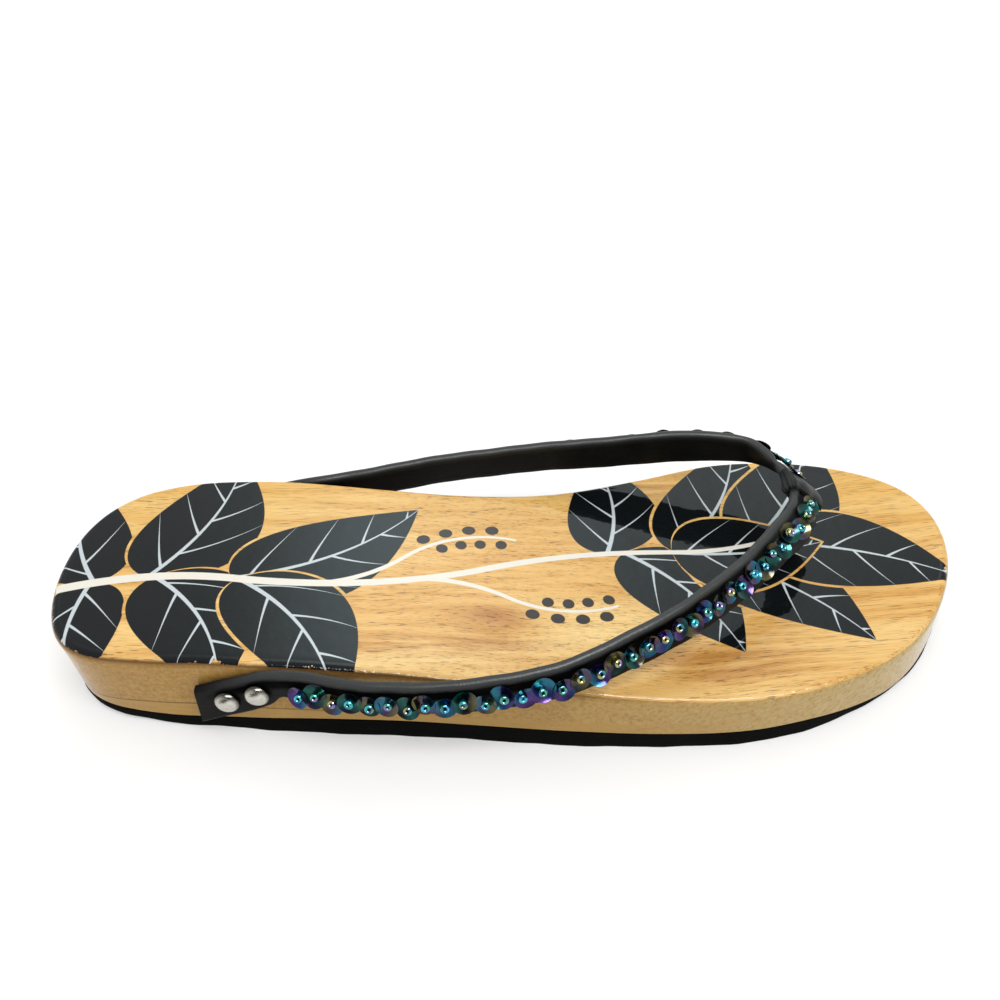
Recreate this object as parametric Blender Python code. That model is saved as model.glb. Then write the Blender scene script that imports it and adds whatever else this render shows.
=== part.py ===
"""Wooden flip-flop with a beaded V strap: one right shoe, built in metres with +Z up and the toe at +X.

Sizes are named in millimetres and turned into metres when a mesh is made.
+Y is the medial (big toe) side and -Y the lateral side.
"""

import math

import bmesh
import bpy
import numpy as np

MM = 0.001

# Overall sizes
SOLE_LENGTH = 249.0
PIECE_GAP = 0.3

# Wooden sole and outsole
TOP_EDGE_RADIUS = 2.0
TOP_EDGE_TURNS = (0.0, 30.0, 60.0, 90.0)
WALL_DRAFT = 0.2
HEEL_RAKE = 2.4
HEEL_RAKE_REACH = 40.0
OUTSOLE_EDGE_RADIUS = 0.4
STATIONS = 44
WOOD_ACROSS = 6
OUTSOLE_ACROSS = 4

# Rows are share of the length, fullness, centre and top. Fullness times the round-end curve
# sqrt(u * (1 - u)) is the half width; centre is the offset of the middle line toward the medial side;
# top is the height of the footbed above the floor.
SOLE_SECTIONS = (
    (0.00, 172.0, -2.0, 24.2),
    (0.03, 147.0, -1.2, 24.5),
    (0.08, 120.0, 0.0, 25.0),
    (0.15, 98.5, 0.0, 25.7),
    (0.25, 82.5, -2.4, 26.2),
    (0.35, 74.0, -5.3, 25.3),
    (0.45, 71.9, -7.5, 23.4),
    (0.55, 77.0, -7.8, 21.2),
    (0.65, 90.0, -4.9, 19.1),
    (0.75, 107.0, -0.3, 17.6),
    (0.85, 120.0, 3.6, 17.0),
    (0.93, 130.0, 7.3, 17.1),
    (1.00, 137.0, 13.4, 17.5),
)

# Rows are share of the length, lift of the underside off the floor and thickness of the rubber. It stands
# flat from the heel to the ball of the foot, is bevelled behind the heel and skived thin under the toes.
OUTSOLE_SECTIONS = (
    (0.00, 1.8, 1.9),
    (0.05, 1.5, 2.1),
    (0.09, 1.0, 2.7),
    (0.13, 0.5, 3.6),
    (0.17, 0.1, 4.2),
    (0.20, 0.0, 4.7),
    (0.28, 0.0, 5.7),
    (0.37, 0.0, 6.4),
    (0.48, 0.0, 6.0),
    (0.63, 0.0, 5.6),
    (0.74, 0.0, 4.9),
    (0.80, 0.0, 4.5),
    (0.85, 0.4, 2.7),
    (0.89, 0.8, 1.2),
    (0.93, 1.0, 1.0),
    (1.00, 1.3, 1.0),
)

# Strap: a band standing on edge. Rows are along, side, height, lean and width, and run from the lateral
# end round the toe to the medial end. A row with WALL for its side lies against the wall of the wood.
WALL = None
STRAP_THICKNESS = 2.6
STRAP_EDGE_RADIUS = 1.1
STRAP_STEP = 4.4
RUN_STEP = 0.4
CORNER_TURNS = (0.0, 45.0, 90.0)
STRAP_LATERAL = (
    (42.0, WALL, 12.0, 0.0, 13.0),
    (48.0, WALL, 14.6, 0.0, 12.4),
    (54.5, WALL, 17.4, 0.0, 11.8),
    (62.0, WALL, 20.2, 0.0, 11.2),
    (72.0, -42.2, 22.4, -2.0, 11.0),
    (83.0, -46.2, 24.0, -4.0, 10.8),
    (107.0, -49.8, 26.6, -4.0, 11.4),
    (131.0, -48.5, 29.2, 0.0, 11.8),
    (154.0, -39.0, 30.9, 6.0, 12.3),
    (175.0, -24.5, 31.0, 12.0, 12.3),
    (193.0, -7.5, 31.8, 22.0, 12.3),
    (203.0, 4.6, 32.4, 37.0, 12.0),
)
STRAP_APEX = (205.2, 12.5, 32.8, 48.0, 11.6)
STRAP_MEDIAL = (
    (202.8, 21.5, 33.3, 45.0, 11.8),
    (194.5, 31.0, 34.0, 24.0, 11.8),
    (181.0, 34.6, 33.8, 10.0, 11.8),
    (156.0, 37.4, 30.5, 8.0, 11.8),
    (133.0, 39.4, 27.5, 12.0, 11.8),
    (111.0, 39.6, 25.0, 13.0, 11.8),
    (91.0, 38.0, 22.9, 11.0, 11.6),
    (77.0, 36.0, 21.5, 7.0, 11.0),
    (65.5, WALL, 20.2, 0.0, 11.3),
    (57.0, WALL, 17.4, 0.0, 11.8),
    (50.0, WALL, 14.6, 0.0, 12.4),
    (44.0, WALL, 12.0, 0.0, 13.0),
)

# Toe post: an oval folded strip, its loop round the strap and its flat foot under the wood
POST_ALONG = 205.0
POST_SIDE = 13.0
POST_WIDTH = 8.0
POST_DEPTH = 4.4
POST_SIDES = 20
POST_ROOT = 1.0
LOOP_LENGTH = 6.6
LOOP_WALL = 1.1
LOOP_RINGS = 5
TUNNEL_RINGS = 9
FOOT_WIDTH = 14.0
FOOT_DEPTH = 10.0
FOOT_THICKNESS = 2.0
CUT_BELOW = 5.0
CUT_ABOVE = 40.0

# Dome nails
NAIL_HEAD_DIAMETER = 6.6
NAIL_HEAD_HEIGHT = 2.0
NAIL_SHANK_DIAMETER = 1.6
NAIL_SHANK_LENGTH = 11.0
NAIL_TIP_LENGTH = 2.0
NAIL_TIP_SHARE = 0.35
NAIL_RIM_HEIGHT = 0.3
NAIL_RIM_SHARE = 0.97
NAIL_DOME_STEPS = (0.0, 0.25, 0.5, 0.72, 0.9)
NAIL_SIDES = 16
BORE_SIDES = 10
BORE_REACH = 10.0
SEARCH_POINTS = 2000
NAILS = (
    ("nail_lateral_rear", -1, 50.2),
    ("nail_lateral_front", -1, 58.2),
    ("nail_medial_rear", 1, 52.2),
    ("nail_medial_front", 1, 60.2),
)

# Bead trim: one low scalloped row along the outer face of each branch
BEAD_PITCH = 5.2
BEAD_STEPS = 5
BEAD_HALF_WIDTH = (2.6, 4.0)
BEAD_HEIGHT = (0.7, 2.3)
BEAD_ACROSS = -1.4
BEAD_SWELL_POWER = 0.8
BEAD_PROFILE_POINTS = 6
BEAD_START = 30.0
BEAD_END = 7.0


def remove_objects():
    for item in list(bpy.data.objects):
        bpy.data.objects.remove(item, do_unlink=True)


def smooth(rows, at):
    """Smooth curve through rows of (position, values...), read at the positions given."""
    rows = np.asarray(rows, dtype=float)
    place, value = rows[:, 0], rows[:, 1:]
    slope = np.gradient(value, place, axis=0)
    at = np.clip(np.atleast_1d(np.asarray(at, dtype=float)), place[0], place[-1])
    k = np.clip(np.searchsorted(place, at, side="right") - 1, 0, len(place) - 2)
    span = (place[k + 1] - place[k])[:, None]
    s = ((at - place[k])[:, None]) / span
    return (
        (2 * s**3 - 3 * s**2 + 1) * value[k]
        + (s**3 - 2 * s**2 + s) * span * slope[k]
        + (3 * s**2 - 2 * s**3) * value[k + 1]
        + (s**3 - s**2) * span * slope[k + 1]
    )


def sole_edge(u, side):
    """Side position of the sole's edge at fraction u of its length, side +1 medial or -1 lateral."""
    u = np.clip(np.atleast_1d(u), 0.0, 1.0)
    section = smooth(SOLE_SECTIONS, u)
    return section[:, 1] + side * section[:, 0] * np.sqrt(u * (1.0 - u))


def top_height(along):
    return smooth(SOLE_SECTIONS, np.asarray(along) / SOLE_LENGTH)[:, 2]


def floor_height(along):
    """Underside of the shoe: flat on the floor, lifting at the heel's end and toward the toe."""
    return np.clip(smooth(OUTSOLE_SECTIONS, np.asarray(along) / SOLE_LENGTH)[:, 0], 0.0, None)


def outsole_top(along):
    return floor_height(along) + smooth(OUTSOLE_SECTIONS, np.asarray(along) / SOLE_LENGTH)[:, 1]


def wood_bottom(along):
    return outsole_top(along) + PIECE_GAP


def heel_rake(along):
    """How far the foot of the wall is drawn in: most behind the heel, fading out along the length."""
    left = np.clip(1.0 - np.asarray(along) / HEEL_RAKE_REACH, 0.0, 1.0)
    return HEEL_RAKE * left**2 * (3.0 - 2.0 * left)


def outline(inset):
    """Closed outline of the sole, moved inward by inset: heel, medial edge, toe, lateral edge."""
    u = 0.5 - 0.5 * np.cos(np.linspace(0.0, math.pi, STATIONS + 1))
    medial = np.stack([u * SOLE_LENGTH, sole_edge(u, 1)], axis=1)
    lateral = np.stack([u * SOLE_LENGTH, sole_edge(u, -1)], axis=1)
    loop = np.concatenate([medial, lateral[-2:0:-1]])
    ahead = np.roll(loop, -1, axis=0) - loop
    behind = loop - np.roll(loop, 1, axis=0)
    ahead /= np.linalg.norm(ahead, axis=1)[:, None]
    behind /= np.linalg.norm(behind, axis=1)[:, None]
    run = ahead + behind
    run /= np.linalg.norm(run, axis=1)[:, None]
    inward = np.stack([run[:, 1], -run[:, 0]], axis=1)
    return loop + np.broadcast_to(inset, len(loop))[:, None] * inward


def ring(inset, height, raked=False):
    """Outline drawn in by inset, and at the foot of the wall by the rake, at a height that follows it."""
    if raked:
        inset = inset + heel_rake(outline(0.0)[:, 0])
    loop = outline(inset)
    return np.column_stack([loop, height(loop[:, 0])])


def add_object(name, verts, faces):
    mesh = bpy.data.meshes.new(name)
    mesh.from_pydata([tuple(float(c) * MM for c in v) for v in verts], [], faces)
    mesh.validate()
    shape = bmesh.new()
    shape.from_mesh(mesh)
    bmesh.ops.recalc_face_normals(shape, faces=shape.faces)
    shape.to_mesh(mesh)
    shape.free()
    made = bpy.data.objects.new(name, mesh)
    bpy.context.scene.collection.objects.link(made)
    return made


def paint(target, name, color, roughness, metallic=0.0):
    look = bpy.data.materials.new(name)
    look.use_nodes = True
    shader = look.node_tree.nodes["Principled BSDF"]
    shader.inputs["Base Color"].default_value = (*color, 1.0)
    shader.inputs["Roughness"].default_value = roughness
    shader.inputs["Metallic"].default_value = metallic
    target.data.materials.clear()
    target.data.materials.append(look)


def combine(target, tool, operation):
    """Cut the tool from the target, or join it, then drop the tool."""
    tool.hide_render = True
    tool.display_type = "WIRE"
    step = target.modifiers.new(operation.lower(), "BOOLEAN")
    step.operation = operation
    step.solver = "EXACT"
    step.object = tool
    graph = bpy.context.evaluated_depsgraph_get()
    result = bpy.data.meshes.new_from_object(target.evaluated_get(graph))
    target.modifiers.clear()
    target.data = result
    bpy.data.objects.remove(tool, do_unlink=True)


def stacked_rings(name, rings, across, low_height, high_height):
    """Solid between the first and last ring, its two caps ruled across from edge to edge."""
    count = len(rings[0])
    half = count // 2
    verts = [tuple(v) for loop in rings for v in loop]
    faces = []
    for level in range(len(rings) - 1):
        for i in range(count):
            j = (i + 1) % count
            a, b = level * count, (level + 1) * count
            faces.append((a + i, a + j, b + j, b + i))
    for level, height in ((0, low_height), (len(rings) - 1, high_height)):
        base = level * count
        loop = np.asarray(rings[level])
        rows = [[base]]
        for i in range(1, half):
            first, last = loop[i], loop[count - i]
            row = [base + i]
            for j in range(1, across):
                spot = first + (last - first) * j / across
                row.append(len(verts))
                verts.append((spot[0], spot[1], float(height(np.array([spot[0]]))[0])))
            row.append(base + count - i)
            rows.append(row)
        rows.append([base + half])
        for near, far in zip(rows[:-1], rows[1:]):
            if len(near) == 1:
                faces.extend((near[0], far[j], far[j + 1]) for j in range(across))
            elif len(far) == 1:
                faces.extend((near[j], near[j + 1], far[0]) for j in range(across))
            else:
                faces.extend((near[j], near[j + 1], far[j + 1], far[j]) for j in range(across))
    return add_object(name, verts, faces)


def make_outsole():
    edge = OUTSOLE_EDGE_RADIUS
    rings = [
        ring(WALL_DRAFT + edge, floor_height, raked=True),
        ring(WALL_DRAFT, lambda x: floor_height(x) + edge, raked=True),
        ring(WALL_DRAFT, outsole_top, raked=True),
    ]
    return stacked_rings("outsole", rings, OUTSOLE_ACROSS, floor_height, outsole_top)


def make_wooden_sole():
    radius = TOP_EDGE_RADIUS
    rings = [ring(WALL_DRAFT, wood_bottom, raked=True)]
    for turn in TOP_EDGE_TURNS:
        inset = radius * (1.0 - math.cos(math.radians(turn)))
        drop = radius * (1.0 - math.sin(math.radians(turn)))
        rings.append(ring(inset, lambda x, drop=drop: top_height(x) - drop))
    return stacked_rings("wooden_sole", rings, WOOD_ACROSS, wood_bottom, top_height)


def strap_rows():
    """Table rows of the whole strap with each wall row given its side position."""
    rows = []
    rest = PIECE_GAP + STRAP_THICKNESS / 2
    for table, side in ((STRAP_LATERAL, -1), ((STRAP_APEX,), 0), (STRAP_MEDIAL, 1)):
        for along, place, height, lean, width in table:
            if place is WALL:
                place = float(sole_edge(along / SOLE_LENGTH, side)[0]) + side * rest
            rows.append((along, place, height, lean, width))
    return np.array(rows)


def strap_line():
    """Strap rows set out by distance along the band: distance, position, lean, width."""
    rows = strap_rows()
    step = np.linalg.norm(np.diff(rows[:, :3], axis=0), axis=1)
    distance = np.concatenate([[0.0], np.cumsum(step)])
    return np.column_stack([distance, rows])


def strap_frame(line, at):
    """Centre, run, up and out directions and width of the strap at distances along it."""
    at = np.atleast_1d(np.asarray(at, dtype=float))
    value = smooth(line, at)
    centre, lean, width = value[:, :3], np.radians(value[:, 3:4]), value[:, 4]
    run = smooth(line, at + RUN_STEP)[:, :3] - smooth(line, at - RUN_STEP)[:, :3]
    run /= np.linalg.norm(run, axis=1)[:, None]
    out = np.cross(run, [0.0, 0.0, 1.0])
    out /= np.linalg.norm(out, axis=1)[:, None]
    up = np.cross(out, run)
    face_up = up * np.cos(lean) - out * np.sin(lean)
    face_out = out * np.cos(lean) + up * np.sin(lean)
    return centre, run, face_up, face_out, width


def band_section(width, grow):
    """Rounded outline of the band in (up, out) offsets, with all sides moved outward by grow."""
    radius = STRAP_EDGE_RADIUS + grow
    tall = width / 2 + grow - radius
    deep = STRAP_THICKNESS / 2 + grow - radius
    points = []
    for corner, (up, out) in enumerate(((tall, deep), (tall, -deep), (-tall, -deep), (-tall, deep))):
        for part in CORNER_TURNS:
            turn = math.radians(90.0 * corner + part)
            points.append((up + radius * math.sin(turn), out + radius * math.cos(turn)))
    return points


def sweep(name, rings):
    """Closed tube through rings of equal count, capped at both ends."""
    count = len(rings[0])
    verts = [tuple(v) for loop in rings for v in loop]
    faces = []
    for level in range(len(rings) - 1):
        a, b = level * count, (level + 1) * count
        faces.extend((a + i, a + (i + 1) % count, b + (i + 1) % count, b + i) for i in range(count))
    faces.append(tuple(range(count - 1, -1, -1)))
    faces.append(tuple(range((len(rings) - 1) * count, len(rings) * count)))
    return add_object(name, verts, faces)


def band_rings(line, at, grow, upright_ends=False):
    centre, run, face_up, face_out, width = strap_frame(line, at)
    rings = []
    for k in range(len(centre)):
        up = face_up[k]
        if upright_ends and k in (0, len(centre) - 1):
            up = np.array([0.0, 0.0, 1.0])
        rings.append([centre[k] + up * u + face_out[k] * o for u, o in band_section(width[k], grow)])
    return rings


def make_strap(line):
    length = line[-1, 0]
    at = np.linspace(0.0, length, int(round(length / STRAP_STEP)) + 1)
    return sweep("strap", band_rings(line, at, 0.0, upright_ends=True))


def prism(name, loop, low, high):
    """Upright prism over a plan outline between two heights."""
    return sweep(name, [[(x, y, z) for x, y in loop] for z in (low, high)])


def oval(along, side, depth, width, sides):
    turn = np.linspace(0.0, 2 * math.pi, sides, endpoint=False)
    return [(along + depth / 2 * math.cos(a), side + width / 2 * math.sin(a)) for a in turn]


def box_plan(along, side, depth, width):
    x, y = depth / 2, width / 2
    return [(along - x, side - y), (along + x, side - y), (along + x, side + y), (along - x, side + y)]


def foot_seat():
    """Height of the wood's underside over the foot of the post, where it is highest."""
    ends = np.array([POST_ALONG - FOOT_DEPTH / 2, POST_ALONG + FOOT_DEPTH / 2])
    return float(wood_bottom(ends).max())


def make_toe_post(line, apex):
    foot_low = foot_seat() + PIECE_GAP
    near = np.linspace(apex - LOOP_LENGTH / 2, apex + LOOP_LENGTH / 2, LOOP_RINGS)
    post = sweep("toe_post", band_rings(line, near, PIECE_GAP + LOOP_WALL))
    plan = oval(POST_ALONG, POST_SIDE, POST_DEPTH, POST_WIDTH, POST_SIDES)
    combine(post, prism("column", plan, foot_low + POST_ROOT, STRAP_APEX[2]), "UNION")
    foot = prism(
        "foot", box_plan(POST_ALONG, POST_SIDE, FOOT_DEPTH, FOOT_WIDTH), foot_low, foot_low + FOOT_THICKNESS
    )
    combine(post, foot, "UNION")
    beyond = np.linspace(apex - LOOP_LENGTH, apex + LOOP_LENGTH, TUNNEL_RINGS)
    combine(post, sweep("tunnel", band_rings(line, beyond, PIECE_GAP)), "DIFFERENCE")
    return post


def cut_post_slot(wood):
    low = foot_seat()
    gap = 2 * PIECE_GAP
    plan = oval(POST_ALONG, POST_SIDE, POST_DEPTH + gap, POST_WIDTH + gap, POST_SIDES)
    combine(wood, prism("slot", plan, low - CUT_BELOW, low + CUT_ABOVE), "DIFFERENCE")
    plan = box_plan(POST_ALONG, POST_SIDE, FOOT_DEPTH + gap, FOOT_WIDTH + gap)
    combine(wood, prism("recess", plan, low - CUT_BELOW, low + gap + FOOT_THICKNESS), "DIFFERENCE")


def nail_axis(line, side, along):
    """Point of the strap's middle at a nail and the outward direction there."""
    length = line[-1, 0]
    at = np.linspace(0.0, length, SEARCH_POINTS)
    centre, run, face_up, face_out, width = strap_frame(line, at)
    branch = centre[:, 1] * side > 0
    k = int(np.argmin(np.where(branch, np.abs(centre[:, 0] - along), np.inf)))
    return centre[k], face_out[k]


def lathe(name, point, direction, profile, sides):
    """Turned solid about an axis; profile rows are (distance along the axis, radius)."""
    direction = direction / np.linalg.norm(direction)
    one = np.cross(direction, [0.0, 0.0, 1.0])
    one /= np.linalg.norm(one)
    two = np.cross(direction, one)
    rings = []
    for place, radius in profile:
        turn = np.linspace(0.0, 2 * math.pi, sides, endpoint=False)
        rings.append(
            [point + direction * place + radius * (one * math.cos(a) + two * math.sin(a)) for a in turn]
        )
    return sweep(name, rings)


def make_nail(line, name, side, along):
    point, out = nail_axis(line, side, along)
    under = STRAP_THICKNESS / 2 + PIECE_GAP
    shank = NAIL_SHANK_DIAMETER / 2
    head = NAIL_HEAD_DIAMETER / 2
    tip = under - NAIL_SHANK_LENGTH
    dome = NAIL_HEAD_HEIGHT - NAIL_RIM_HEIGHT
    profile = [(tip, shank * NAIL_TIP_SHARE), (tip + NAIL_TIP_LENGTH, shank), (under, shank)]
    profile.append((under, head * NAIL_RIM_SHARE))
    for part in NAIL_DOME_STEPS:
        profile.append((under + NAIL_RIM_HEIGHT + dome * part, head * math.sqrt(1.0 - part**2)))
    return lathe(name, point, out, profile, NAIL_SIDES)


def nail_cutter(line, side, along):
    point, out = nail_axis(line, side, along)
    bore = NAIL_SHANK_DIAMETER / 2 + PIECE_GAP
    deep = STRAP_THICKNESS / 2 - NAIL_SHANK_LENGTH
    return lathe("bore", point, out, [(deep, bore), (BORE_REACH, bore)], BORE_SIDES)


def make_bead_trim(line, name, start, end):
    """Scalloped row of lumps on the outer face between two distances along the strap."""
    count = int(round((end - start) / BEAD_PITCH))
    steps = count * BEAD_STEPS + 1
    at = np.linspace(start, end, steps)
    phase = np.linspace(0.0, math.pi * count, steps)
    swell = np.abs(np.sin(phase)) ** BEAD_SWELL_POWER
    centre, run, face_up, face_out, width = strap_frame(line, at)
    rings = []
    for k in range(steps):
        half = BEAD_HALF_WIDTH[0] + (BEAD_HALF_WIDTH[1] - BEAD_HALF_WIDTH[0]) * swell[k]
        tall = BEAD_HEIGHT[0] + (BEAD_HEIGHT[1] - BEAD_HEIGHT[0]) * swell[k]
        base = centre[k] + face_up[k] * BEAD_ACROSS + face_out[k] * (STRAP_THICKNESS / 2 + PIECE_GAP)
        turn = np.linspace(0.0, math.pi, BEAD_PROFILE_POINTS)
        rings.append([base + face_up[k] * half * math.cos(a) + face_out[k] * tall * math.sin(a) for a in turn])
    return sweep(name, rings)


def centre_on_floor(objects):
    """Put the middle of the whole shoe's box at the origin, with its underside at height zero."""
    points = np.concatenate(
        [np.array([tuple(v.co) for v in item.data.vertices]) for item in objects]
    )
    low, high = points.min(axis=0), points.max(axis=0)
    shift = np.array([(low[0] + high[0]) / 2, (low[1] + high[1]) / 2, low[2]])
    for item in objects:
        for vert in item.data.vertices:
            vert.co = tuple(np.array(tuple(vert.co)) - shift)


def main():
    remove_objects()
    line = strap_line()
    apex = float(line[len(STRAP_LATERAL), 0])
    length = float(line[-1, 0])

    outsole = make_outsole()
    wood = make_wooden_sole()
    cut_post_slot(wood)
    strap = make_strap(line)
    nails = []
    for name, side, along in NAILS:
        combine(wood, nail_cutter(line, side, along), "DIFFERENCE")
        combine(strap, nail_cutter(line, side, along), "DIFFERENCE")
        nails.append(make_nail(line, name, side, along))
    post = make_toe_post(line, apex)
    trim_lateral = make_bead_trim(line, "bead_trim_lateral", BEAD_START, apex - BEAD_END)
    trim_medial = make_bead_trim(line, "bead_trim_medial", apex + BEAD_END, length - BEAD_START)

    paint(outsole, "black_rubber", (0.012, 0.012, 0.013), 0.8)
    paint(wood, "lacquered_wood", (0.62, 0.36, 0.13), 0.2)
    paint(strap, "black_leather", (0.014, 0.014, 0.016), 0.45)
    paint(post, "black_leather_post", (0.014, 0.014, 0.016), 0.5)
    for trim in (trim_lateral, trim_medial):
        paint(trim, trim.name + "_glass", (0.03, 0.10, 0.16), 0.15)
    for nail in nails:
        paint(nail, nail.name + "_steel", (0.75, 0.74, 0.72), 0.2, 1.0)

    centre_on_floor([outsole, wood, strap, post, trim_lateral, trim_medial, *nails])


main()
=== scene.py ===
# %% [markdown]
# # Dressing a wooden flip-flop
#
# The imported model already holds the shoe's construction: outsole, wooden sole, strap, toe post, nails
# and two rows of bead trim, at their real size. This lesson loads that model as a fixed frame and gives
# every piece the surface that the real one has. Nothing is moved or resized. Pieces whose outline is
# right but whose facets are coarse are made again, finer, from the same few sizes.

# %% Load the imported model
import math

import bmesh
import bpy
import numpy as np
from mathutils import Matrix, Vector


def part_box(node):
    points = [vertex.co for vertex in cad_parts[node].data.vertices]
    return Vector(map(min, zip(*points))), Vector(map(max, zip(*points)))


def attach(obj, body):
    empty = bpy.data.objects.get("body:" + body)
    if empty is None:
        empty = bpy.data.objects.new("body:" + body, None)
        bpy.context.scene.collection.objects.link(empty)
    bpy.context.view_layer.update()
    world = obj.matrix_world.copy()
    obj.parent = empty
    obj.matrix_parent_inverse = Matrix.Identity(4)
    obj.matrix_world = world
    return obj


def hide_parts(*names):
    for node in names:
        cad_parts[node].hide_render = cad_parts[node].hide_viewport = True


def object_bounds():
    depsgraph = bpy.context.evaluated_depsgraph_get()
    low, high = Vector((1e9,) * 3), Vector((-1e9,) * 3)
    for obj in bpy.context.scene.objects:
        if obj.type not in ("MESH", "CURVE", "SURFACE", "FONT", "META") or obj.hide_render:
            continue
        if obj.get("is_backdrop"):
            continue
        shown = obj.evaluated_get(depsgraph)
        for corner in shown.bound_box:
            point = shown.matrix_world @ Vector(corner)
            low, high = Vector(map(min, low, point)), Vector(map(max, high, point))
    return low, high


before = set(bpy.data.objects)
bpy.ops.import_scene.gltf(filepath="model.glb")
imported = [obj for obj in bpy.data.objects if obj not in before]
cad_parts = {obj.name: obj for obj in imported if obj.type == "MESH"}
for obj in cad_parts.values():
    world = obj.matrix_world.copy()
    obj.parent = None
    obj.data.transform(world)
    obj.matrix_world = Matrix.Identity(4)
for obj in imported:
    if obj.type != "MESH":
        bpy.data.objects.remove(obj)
cad_box = [list(corner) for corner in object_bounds()]
MM = 0.001
print("loaded", len(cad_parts), "nodes:", ", ".join(sorted(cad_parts)))

# %% [markdown]
# ## The shoemaker's sizes
#
# The sole is a round-ended outline whose width, middle line and height change along its length. A short
# table gives those at a few stations, and one smooth curve runs through them. The strap is a band whose
# middle line, lean and width come from a second table. Both tables are in millimetres, with the heel's
# back at zero, the toe at plus X and the big toe's side at plus Y.

# %% Tables of the sole and the strap
SOLE_LENGTH = 249.0
PIECE_GAP = 0.3
TOP_EDGE_RADIUS = 2.0
WALL_DRAFT = 0.2
HEEL_RAKE = 2.4
HEEL_RAKE_REACH = 40.0

# Columns: share of the length, fullness of the half width, middle line, height of the footbed.
SOLE_SECTIONS = (
    (0.00, 172.0, -2.0, 24.2),
    (0.03, 147.0, -1.2, 24.5),
    (0.08, 120.0, 0.0, 25.0),
    (0.15, 98.5, 0.0, 25.7),
    (0.25, 82.5, -2.4, 26.2),
    (0.35, 74.0, -5.3, 25.3),
    (0.45, 71.9, -7.5, 23.4),
    (0.55, 77.0, -7.8, 21.2),
    (0.65, 90.0, -4.9, 19.1),
    (0.75, 107.0, -0.3, 17.6),
    (0.85, 120.0, 3.6, 17.0),
    (0.93, 130.0, 7.3, 17.1),
    (1.00, 137.0, 13.4, 17.5),
)

# Columns: share of the length, lift of the underside off the floor, thickness of the rubber.
OUTSOLE_SECTIONS = (
    (0.00, 1.8, 1.9),
    (0.05, 1.5, 2.1),
    (0.09, 1.0, 2.7),
    (0.13, 0.5, 3.6),
    (0.17, 0.1, 4.2),
    (0.20, 0.0, 4.7),
    (0.28, 0.0, 5.7),
    (0.37, 0.0, 6.4),
    (0.48, 0.0, 6.0),
    (0.63, 0.0, 5.6),
    (0.74, 0.0, 4.9),
    (0.80, 0.0, 4.5),
    (0.85, 0.4, 2.7),
    (0.89, 0.8, 1.2),
    (0.93, 1.0, 1.0),
    (1.00, 1.3, 1.0),
)

# Columns: along, side, height, lean in degrees, width. WALL stands for the wood's own side wall.
WALL = None
STRAP_THICKNESS = 2.6
STRAP_LATERAL = (
    (42.0, WALL, 12.0, 0.0, 13.0),
    (48.0, WALL, 14.6, 0.0, 12.4),
    (54.5, WALL, 17.4, 0.0, 11.8),
    (62.0, WALL, 20.2, 0.0, 11.2),
    (72.0, -42.2, 22.4, -2.0, 11.0),
    (83.0, -46.2, 24.0, -4.0, 10.8),
    (107.0, -49.8, 26.6, -4.0, 11.4),
    (131.0, -48.5, 29.2, 0.0, 11.8),
    (154.0, -39.0, 30.9, 6.0, 12.3),
    (175.0, -24.5, 31.0, 12.0, 12.3),
    (193.0, -7.5, 31.8, 22.0, 12.3),
    (203.0, 4.6, 32.4, 37.0, 12.0),
)
STRAP_APEX = (205.2, 12.5, 32.8, 48.0, 11.6)
STRAP_MEDIAL = (
    (202.8, 21.5, 33.3, 45.0, 11.8),
    (194.5, 31.0, 34.0, 24.0, 11.8),
    (181.0, 34.6, 33.8, 10.0, 11.8),
    (156.0, 37.4, 30.5, 8.0, 11.8),
    (133.0, 39.4, 27.5, 12.0, 11.8),
    (111.0, 39.6, 25.0, 13.0, 11.8),
    (91.0, 38.0, 22.9, 11.0, 11.6),
    (77.0, 36.0, 21.5, 7.0, 11.0),
    (65.5, WALL, 20.2, 0.0, 11.3),
    (57.0, WALL, 17.4, 0.0, 11.8),
    (50.0, WALL, 14.6, 0.0, 12.4),
    (44.0, WALL, 12.0, 0.0, 13.0),
)


# %% Curves through the tables
def smooth(rows, at):
    """Smooth curve through rows of (position, values...), read at the positions given."""
    rows = np.asarray(rows, dtype=float)
    place, value = rows[:, 0], rows[:, 1:]
    slope = np.gradient(value, place, axis=0)
    at = np.clip(np.atleast_1d(np.asarray(at, dtype=float)), place[0], place[-1])
    k = np.clip(np.searchsorted(place, at, side="right") - 1, 0, len(place) - 2)
    span = (place[k + 1] - place[k])[:, None]
    s = (at - place[k])[:, None] / span
    return (
        (2 * s**3 - 3 * s**2 + 1) * value[k]
        + (s**3 - 2 * s**2 + s) * span * slope[k]
        + (3 * s**2 - 2 * s**3) * value[k + 1]
        + (s**3 - s**2) * span * slope[k + 1]
    )


def sole_edge(share, side):
    """Side position of the sole's edge, side +1 medial or -1 lateral."""
    share = np.clip(np.atleast_1d(share), 0.0, 1.0)
    section = smooth(SOLE_SECTIONS, share)
    return section[:, 1] + side * section[:, 0] * np.sqrt(share * (1.0 - share))


def top_height(along):
    return smooth(SOLE_SECTIONS, np.asarray(along) / SOLE_LENGTH)[:, 2]


def floor_height(along):
    """Underside of the shoe: flat on the floor, lifting at the heel's end and toward the toe."""
    return np.clip(smooth(OUTSOLE_SECTIONS, np.asarray(along) / SOLE_LENGTH)[:, 0], 0.0, None)


def outsole_top(along):
    return floor_height(along) + smooth(OUTSOLE_SECTIONS, np.asarray(along) / SOLE_LENGTH)[:, 1]


def wood_bottom(along):
    return outsole_top(along) + PIECE_GAP


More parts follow.
